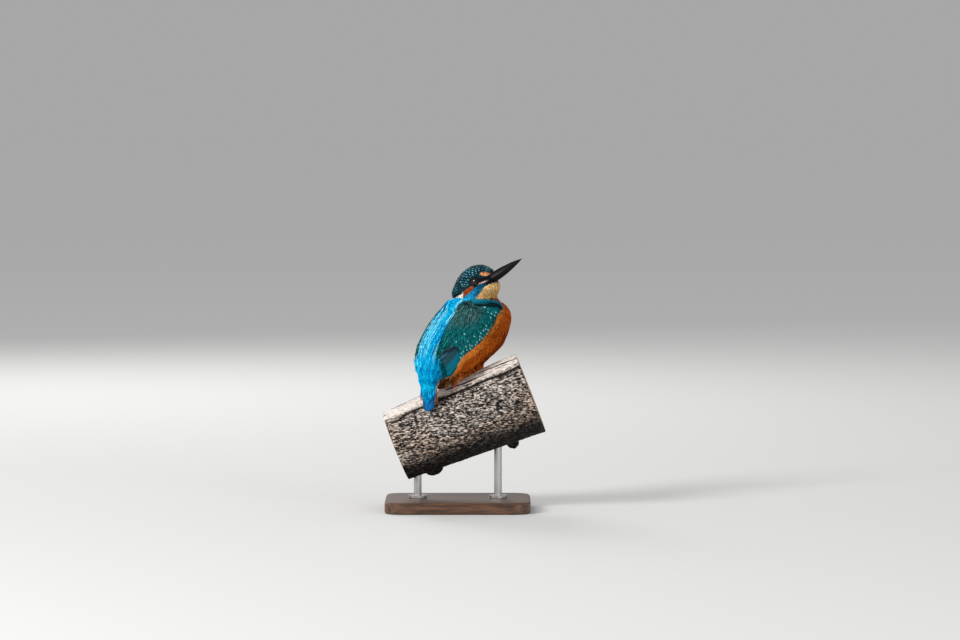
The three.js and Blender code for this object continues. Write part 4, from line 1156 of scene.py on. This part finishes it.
# ---------------------------------------------------------------------------------------------------------
# The bill: two long horn sheaths that meet along the gape line, black with a dull violet shine painted as a
# highlight along the ridge down the culmen, and a narrow nostril slot in a groove near its root, painted dark.
BILL = {"start": 8.0, "base": 12.8, "tip": 42.6, "tip_z": 0.8, "culmen": 3.2, "gonys": -5.4, "gape": -1.5,
        "half": 3.5}
BILL_RINGS, BILL_SIDES = 90, 96
HORN, HORN_RIDGE_HIGHLIGHT, HORN_EDGE, NOSTRIL_SHADE = linear("080608"), linear("241c24"), linear("54464e"), linear("040304")

bill_material, bill_bsdf, bill_tree = shader("bill_horn")
bill_paint = bill_tree.nodes.new("ShaderNodeVertexColor")
bill_paint.layer_name = "horn"
bill_tree.links.new(bill_paint.outputs["Color"], bill_bsdf.inputs["Base Color"])
bill_bsdf.inputs["Roughness"].default_value = 0.36
bill_bsdf.inputs["Specular IOR Level"].default_value = 0.13
link_noise_bump(bill_tree, bill_bsdf, scale=500.0, strength=0.25, distance=0.0001)


def bill_half(upper):
    """One sheath: rings along x, each the flat of the gape line and an arch over it up to the ridge, with the
    width closing towards the tip by a power of the share left."""
    share = np.linspace(0, 1, BILL_RINGS)[:, None] ** 0.9
    angle = np.linspace(0, 2 * np.pi, BILL_SIDES, endpoint=False)[None, :]
    x = BILL["start"] + (BILL["tip"] - BILL["start"]) * share
    run = (x - BILL["base"]) / (BILL["tip"] - BILL["base"])
    gape = BILL["gape"] + (BILL["tip_z"] - BILL["gape"]) * run + (0.07 if upper else -0.07)
    edge = BILL["culmen"] if upper else BILL["gonys"]
    power = 3.0 if upper else 1.65
    ridge = edge + (BILL["tip_z"] - edge) * np.clip(run, 0, None) ** power
    half = BILL["half"] * np.clip(1 - run, 0, None) ** 0.86
    arch = np.clip(np.sin(angle), 0, None) ** 0.8
    y = half * np.cos(angle) * (1 - 0.3 * arch ** 2)
    z = gape + (ridge - gape) * arch
    slot = np.exp(-((x - 15.6) / 1.7) ** 4) * np.exp(-((arch - 0.5) / 0.06) ** 2) if upper else 0.0 * x * arch
    groove = np.exp(-((arch - 0.5) / 0.16) ** 2) * smooth(26 - x, 0, 10) if upper else 0.0 * x * arch
    y = y * (1 - 0.1 * slot - 0.08 * groove)
    points = np.stack(np.broadcast_arrays(x, y, z), -1)
    # painted highlight: a violet-grey sheen along the culmen's ridge
    tint = mix(HORN, HORN_RIDGE_HIGHLIGHT, smooth(arch * np.ones_like(x), 0.75, 1.0) * 0.6)
    tint = mix(tint, HORN_EDGE, np.exp(-(arch / 0.12) ** 2) * smooth(30 - x, 0, 14) * 0.7)
    # painted shade in the nostril slot's opening
    return points, mix(tint, NOSTRIL_SHADE, slot)


for name, upper, winding in (("bill_upper_horn", True, 1), ("bill_lower_horn", False, -1)):
    points, tint = bill_half(upper)
    corners = grid_corners(BILL_RINGS, BILL_SIDES, True)[:, ::winding]
    piece = new_piece(name, to_world(from_head(points.reshape(-1, 3))), corners, bill_material)
    colour_points(piece, "horn", tint.reshape(-1, 3))
    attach(piece, "root")
    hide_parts(name[:10])

# ---------------------------------------------------------------------------------------------------------
# The eyes: near-black brown balls under a wet surface, each in a ring of bare, beaded dark lid. Behind the
# ring a band of skin runs back round the ball, under the feathers.
EYE_RADIUS = 4.36
EYE_RINGS, EYE_SIDES = 28, 40
PUPIL, IRIS, IRIS_RIM = linear("020202"), linear("1d0f08"), linear("050304")
LID = {"radius": 3.0, "thick": 0.19, "out": 10.95, "skirt": 0.1}
LID_SIDES, LID_ROUND, LID_BEADS = 96, 12, 34

eye_material, eye_bsdf, eye_tree = shader("eye")
eye_paint = eye_tree.nodes.new("ShaderNodeVertexColor")
eye_paint.layer_name = "iris"
eye_tree.links.new(eye_paint.outputs["Color"], eye_bsdf.inputs["Base Color"])
eye_bsdf.inputs["Roughness"].default_value = 0.06
eye_bsdf.inputs["Specular IOR Level"].default_value = 0.3
eye_bsdf.inputs["Coat Weight"].default_value = 0.25
eye_bsdf.inputs["Coat Roughness"].default_value = 0.02
lid_material, lid_bsdf, lid_tree = shader("lid_skin")
lid_bsdf.inputs["Base Color"].default_value = (*linear("090b0c"), 1.0)
lid_bsdf.inputs["Roughness"].default_value = 0.75
lid_bsdf.inputs["Specular IOR Level"].default_value = 0.15
link_noise_bump(lid_tree, lid_bsdf, scale=2500.0, strength=0.4, distance=0.0001)
for side_name, side in (("left", 1.0), ("right", -1.0)):
    fall, turn = np.meshgrid(np.linspace(0.0, np.pi, EYE_RINGS),
                             np.linspace(0, 2 * np.pi, EYE_SIDES, endpoint=False), indexing="ij")
    ball = np.stack([np.sin(fall) * np.cos(turn), side * np.cos(fall), side * np.sin(fall) * np.sin(turn)], -1)
    ball = ball * EYE_RADIUS + np.array([0.0, side * EYE_SIDE, 0.0])
    off_axis = np.sin(fall) * EYE_RADIUS
    iris = mix(PUPIL, IRIS, smooth(off_axis, 1.5, 1.9))
    iris = mix(iris, IRIS_RIM, smooth(off_axis, 2.6, 3.0))
    eye = new_piece("eyeball_" + side_name, to_world(from_head(ball.reshape(-1, 3))),
                    grid_corners(EYE_RINGS, EYE_SIDES, True), eye_material)
    colour_points(eye, "iris", iris.reshape(-1, 3))
    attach(eye, "root")
    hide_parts("eye_" + side_name)
    turn, round_lid = np.meshgrid(np.linspace(0, 2 * np.pi, LID_SIDES, endpoint=False),
                                  np.linspace(0, 2 * np.pi, LID_ROUND, endpoint=False), indexing="ij")
    thick = LID["thick"] * (1 + 0.12 * np.cos(turn * LID_BEADS)) * (1 + 0.25 * np.cos(turn + 2.6))
    ring = LID["radius"] + thick * np.cos(round_lid)
    lid_out = LID["out"] + thick * np.sin(round_lid) - 0.07 * ring * np.cos(turn)
    lid = np.stack([ring * np.cos(turn) * 1.04, side * lid_out, side * ring * np.sin(turn) * 0.93], -1)
    fold = np.radians(np.concatenate([np.linspace(88, 46, LID_ROUND // 2), np.linspace(44, 88, LID_ROUND // 2)]))
    deep = EYE_RADIUS + np.repeat([-0.2, LID["skirt"]], LID_ROUND // 2)
    turn = turn[:, :1]
    skirt_out = side * (EYE_SIDE + deep * np.cos(fold))
    skirt = np.stack(np.broadcast_arrays(deep * np.sin(fold) * np.cos(turn), skirt_out,
                                         side * deep * np.sin(fold) * np.sin(turn)), -1)
    corners = grid_corners(LID_SIDES + 1, LID_ROUND, True) % (LID_SIDES * LID_ROUND)
    lid_piece = new_piece("lid_" + side_name, to_world(from_head(np.concatenate([lid, skirt]).reshape(-1, 3))),
                          np.concatenate([corners, corners[:, ::-1] + LID_SIDES * LID_ROUND]), lid_material)
    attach(lid_piece, "root")

# ---------------------------------------------------------------------------------------------------------
# The feet: short, weak and orange-red, with scaled skin and black claws. The three front toes grip along
# the bough, the outer two joined at their roots, and the short hind toe points back.
FOOT_SPACING = 7.0
TOES = ((8.0, -17.0), (12.5, -2.0), (11.0, 9.0), (5.5, 180.0))  # reach, turn outwards
TOE_RADIUS, TARSUS_RADIUS, TARSUS_HEIGHT = 1.1, 1.3, 7.0
CLAW_LENGTH, CLAW_RADIUS = 3.4, 0.62
LIMB_STEPS, LIMB_SIDES = 24, 14
FOOT_RED, FOOT_DARK, CLAW_BLACK = linear("b8502c"), linear("7c3424"), linear("1a1412")

foot_material, foot_bsdf, foot_tree = shader("foot_skin")
foot_paint = foot_tree.nodes.new("ShaderNodeVertexColor")
foot_paint.layer_name = "scales"
foot_tree.links.new(foot_paint.outputs["Color"], foot_bsdf.inputs["Base Color"])
foot_bsdf.inputs["Roughness"].default_value = 0.5
link_noise_bump(foot_tree, foot_bsdf, scale=1800.0, strength=0.3, distance=0.0001)


def limb(line, radius, ridges=0):
    """A round limb: a circle of the given radius carried along the line, its upper side crossed by ridges of
    scales. Both ends close on a point."""
    way = unit(np.gradient(line, axis=0))
    first = unit(np.cross(way, [0.0, 0.0, 1.0]) + np.array([1e-6, 0, 0]))
    second = np.cross(first, way)
    angle = np.linspace(0, 2 * np.pi, LIMB_SIDES, endpoint=False)
    share = np.linspace(0, 1, len(line))[:, None]
    scale = 1 + 0.07 * np.cos(share * ridges * 2 * np.pi) * smooth(-np.sin(angle), -0.2, 0.6)[None]
    closing = np.sqrt(np.clip(1 - (2 * share - 1) ** 24, 0, 1))
    size = np.asarray(radius).reshape(-1, 1) * scale * closing
    points = line[:, None] + size[..., None] * (np.cos(angle)[None, :, None] * first[:, None]
                                                - np.sin(angle)[None, :, None] * second[:, None])
    return points, share * np.ones((1, LIMB_SIDES))


for side_name, side in (("left", 1.0), ("right", -1.0)):
    limbs = []
    ankle = np.array([0.0, side * FOOT_SPACING, 0.0])
    ankle[2] = bough_under(ankle) + TOE_RADIUS + 0.4
    share = np.linspace(0, 1, LIMB_STEPS)[:, None]
    tarsus = ankle + share * np.array([-3.0, 0.0, TARSUS_HEIGHT])
    limbs.append((*limb(tarsus, TARSUS_RADIUS * (1 - 0.1 * np.sin(share * np.pi)), ridges=9), 0.0))
    for reach, turn in TOES:
        heading = np.radians(-turn) * -side
        toe = ankle + share * reach * np.array([np.cos(heading), np.sin(heading), 0.0])
        toe[:, 2] = bough_under(toe) + TOE_RADIUS * 0.85
        pads = 1 + 0.1 * np.cos(share * 6 * np.pi)
        limbs.append((*limb(toe, TOE_RADIUS * (1 - 0.3 * share) * pads, ridges=int(reach * 1.1)), 0.0))
        bend = share * CLAW_LENGTH
        claw = toe[-1] + bend * np.array([np.cos(heading), np.sin(heading), 0.0]) * 0.9
        claw[:, 2] += 0.5 * np.sin(share[:, 0] * np.pi * 0.9) - 0.9 * share[:, 0] ** 2 + 0.1
        claw_radius = CLAW_RADIUS * (1 - share) ** 0.8 + 0.02
        limbs.append((*limb(claw - (toe[-1] - toe[-3]) * 0.5, claw_radius), 1.0))
    foot_points = np.concatenate([points.reshape(-1, 3) for points, _, _ in limbs])
    foot_faces, first = [], 0
    for _ in limbs:
        foot_faces.append(grid_corners(LIMB_STEPS, LIMB_SIDES, True) + first)
        first += LIMB_STEPS * LIMB_SIDES
    foot = new_piece("foot_" + side_name, to_world(foot_points), np.concatenate(foot_faces), foot_material)
    hue = [mix(mix(FOOT_RED, FOOT_DARK, 0.5 + 0.5 * np.cos(shares * 60)), CLAW_BLACK,
               np.full(shares.shape, is_claw)).reshape(-1, 3) for _, shares, is_claw in limbs]
    colour_points(foot, "scales", np.concatenate(hue))
    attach(foot, "root")
    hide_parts("leg_" + side_name)

# ---------------------------------------------------------------------------------------------------------
# The studio: a pale floor under plain soft light, seen through a long lens from a little above the bird.
FRAME_WIDTH = 0.739
CAMERA_DISTANCE = 3.0
CAMERA_DROP = np.radians(3.0)
LOOK_AT = np.array([0.0171, -0.0055, 0.1470])
FLOOR_HALF = 60.0
FLOOR_COLOUR = (0.5, 0.495, 0.485)
SKY_COLOUR, SKY_STRENGTH = (0.97, 0.98, 1.0), 0.8
LAMPS = {"key": ((-1.6, -1.5, 1.2), 0.8, 62.0), "fill": ((1.5, -1.8, 0.5), 1.2, 16.0),
         "back": ((-0.6, 1.5, 1.2), 0.9, 18.0)}  # place, size, power
SENSOR = 36.0

floor_material, floor_bsdf, _ = shader("pale_floor")
floor_bsdf.inputs["Base Color"].default_value = (*FLOOR_COLOUR, 1.0)
floor_bsdf.inputs["Roughness"].default_value = 0.9
floor_bsdf.inputs["Specular IOR Level"].default_value = 0.0
floor = new_piece("floor", FLOOR_HALF * np.array([(-1, -1, 0), (1, -1, 0), (1, 1, 0), (-1, 1, 0)], float),
                  np.array([[0, 1, 2, 3]]), floor_material)
world = bpy.data.worlds.new("studio")
bpy.context.scene.world = world
world.use_nodes = True
lighting = world.node_tree.nodes["Background"]
lighting.inputs["Color"].default_value = (*SKY_COLOUR, 1.0)
lighting.inputs["Strength"].default_value = SKY_STRENGTH
seen_sky = world.node_tree.nodes.new("ShaderNodeBackground")
seen_sky_colour = [a * b * SKY_STRENGTH for a, b in zip(FLOOR_COLOUR, SKY_COLOUR)]
seen_sky.inputs["Color"].default_value = (*seen_sky_colour, 1.0)
light_path = world.node_tree.nodes.new("ShaderNodeLightPath")
sees_sky = light_path.outputs["Is Camera Ray"]
for ray in ("Is Glossy Ray", "Is Transmission Ray"):
    or_this = world.node_tree.nodes.new("ShaderNodeMath")
    or_this.operation = "MAXIMUM"
    world.node_tree.links.new(sees_sky, or_this.inputs[0])
    world.node_tree.links.new(light_path.outputs[ray], or_this.inputs[1])
    sees_sky = or_this.outputs["Value"]
either = world.node_tree.nodes.new("ShaderNodeMixShader")
world.node_tree.links.new(sees_sky, either.inputs["Fac"])
world.node_tree.links.new(lighting.outputs["Background"], either.inputs[1])
world.node_tree.links.new(seen_sky.outputs["Background"], either.inputs[2])
world.node_tree.links.new(either.outputs["Shader"], world.node_tree.nodes["World Output"].inputs["Surface"])
for name, (place, size, power) in LAMPS.items():
    lamp = bpy.data.lights.new(name, "AREA")
    lamp.shape = "DISK"
    lamp.size = size
    lamp.energy = power
    holder = bpy.data.objects.new(name, lamp)
    holder.location = place
    way = LOOK_AT - np.array(place)
    holder.rotation_euler = (np.arccos(-way[2] / np.linalg.norm(way)), 0.0,
                             np.arctan2(way[1], way[0]) - np.pi / 2)
    bpy.context.scene.collection.objects.link(holder)

camera_data = bpy.data.cameras.new("camera")
camera_data.sensor_width = SENSOR
camera_data.lens = SENSOR * CAMERA_DISTANCE / FRAME_WIDTH
camera = bpy.data.objects.new("camera", camera_data)
camera.location = LOOK_AT + CAMERA_DISTANCE * np.array([0.0, -np.cos(CAMERA_DROP), np.sin(CAMERA_DROP)])
camera.rotation_euler = (np.pi / 2 - CAMERA_DROP, 0.0, 0.0)
bpy.context.scene.collection.objects.link(camera)
bpy.context.scene.camera = camera
bpy.context.scene.view_settings.view_transform = "Standard"

bpy.context.view_layer.update()
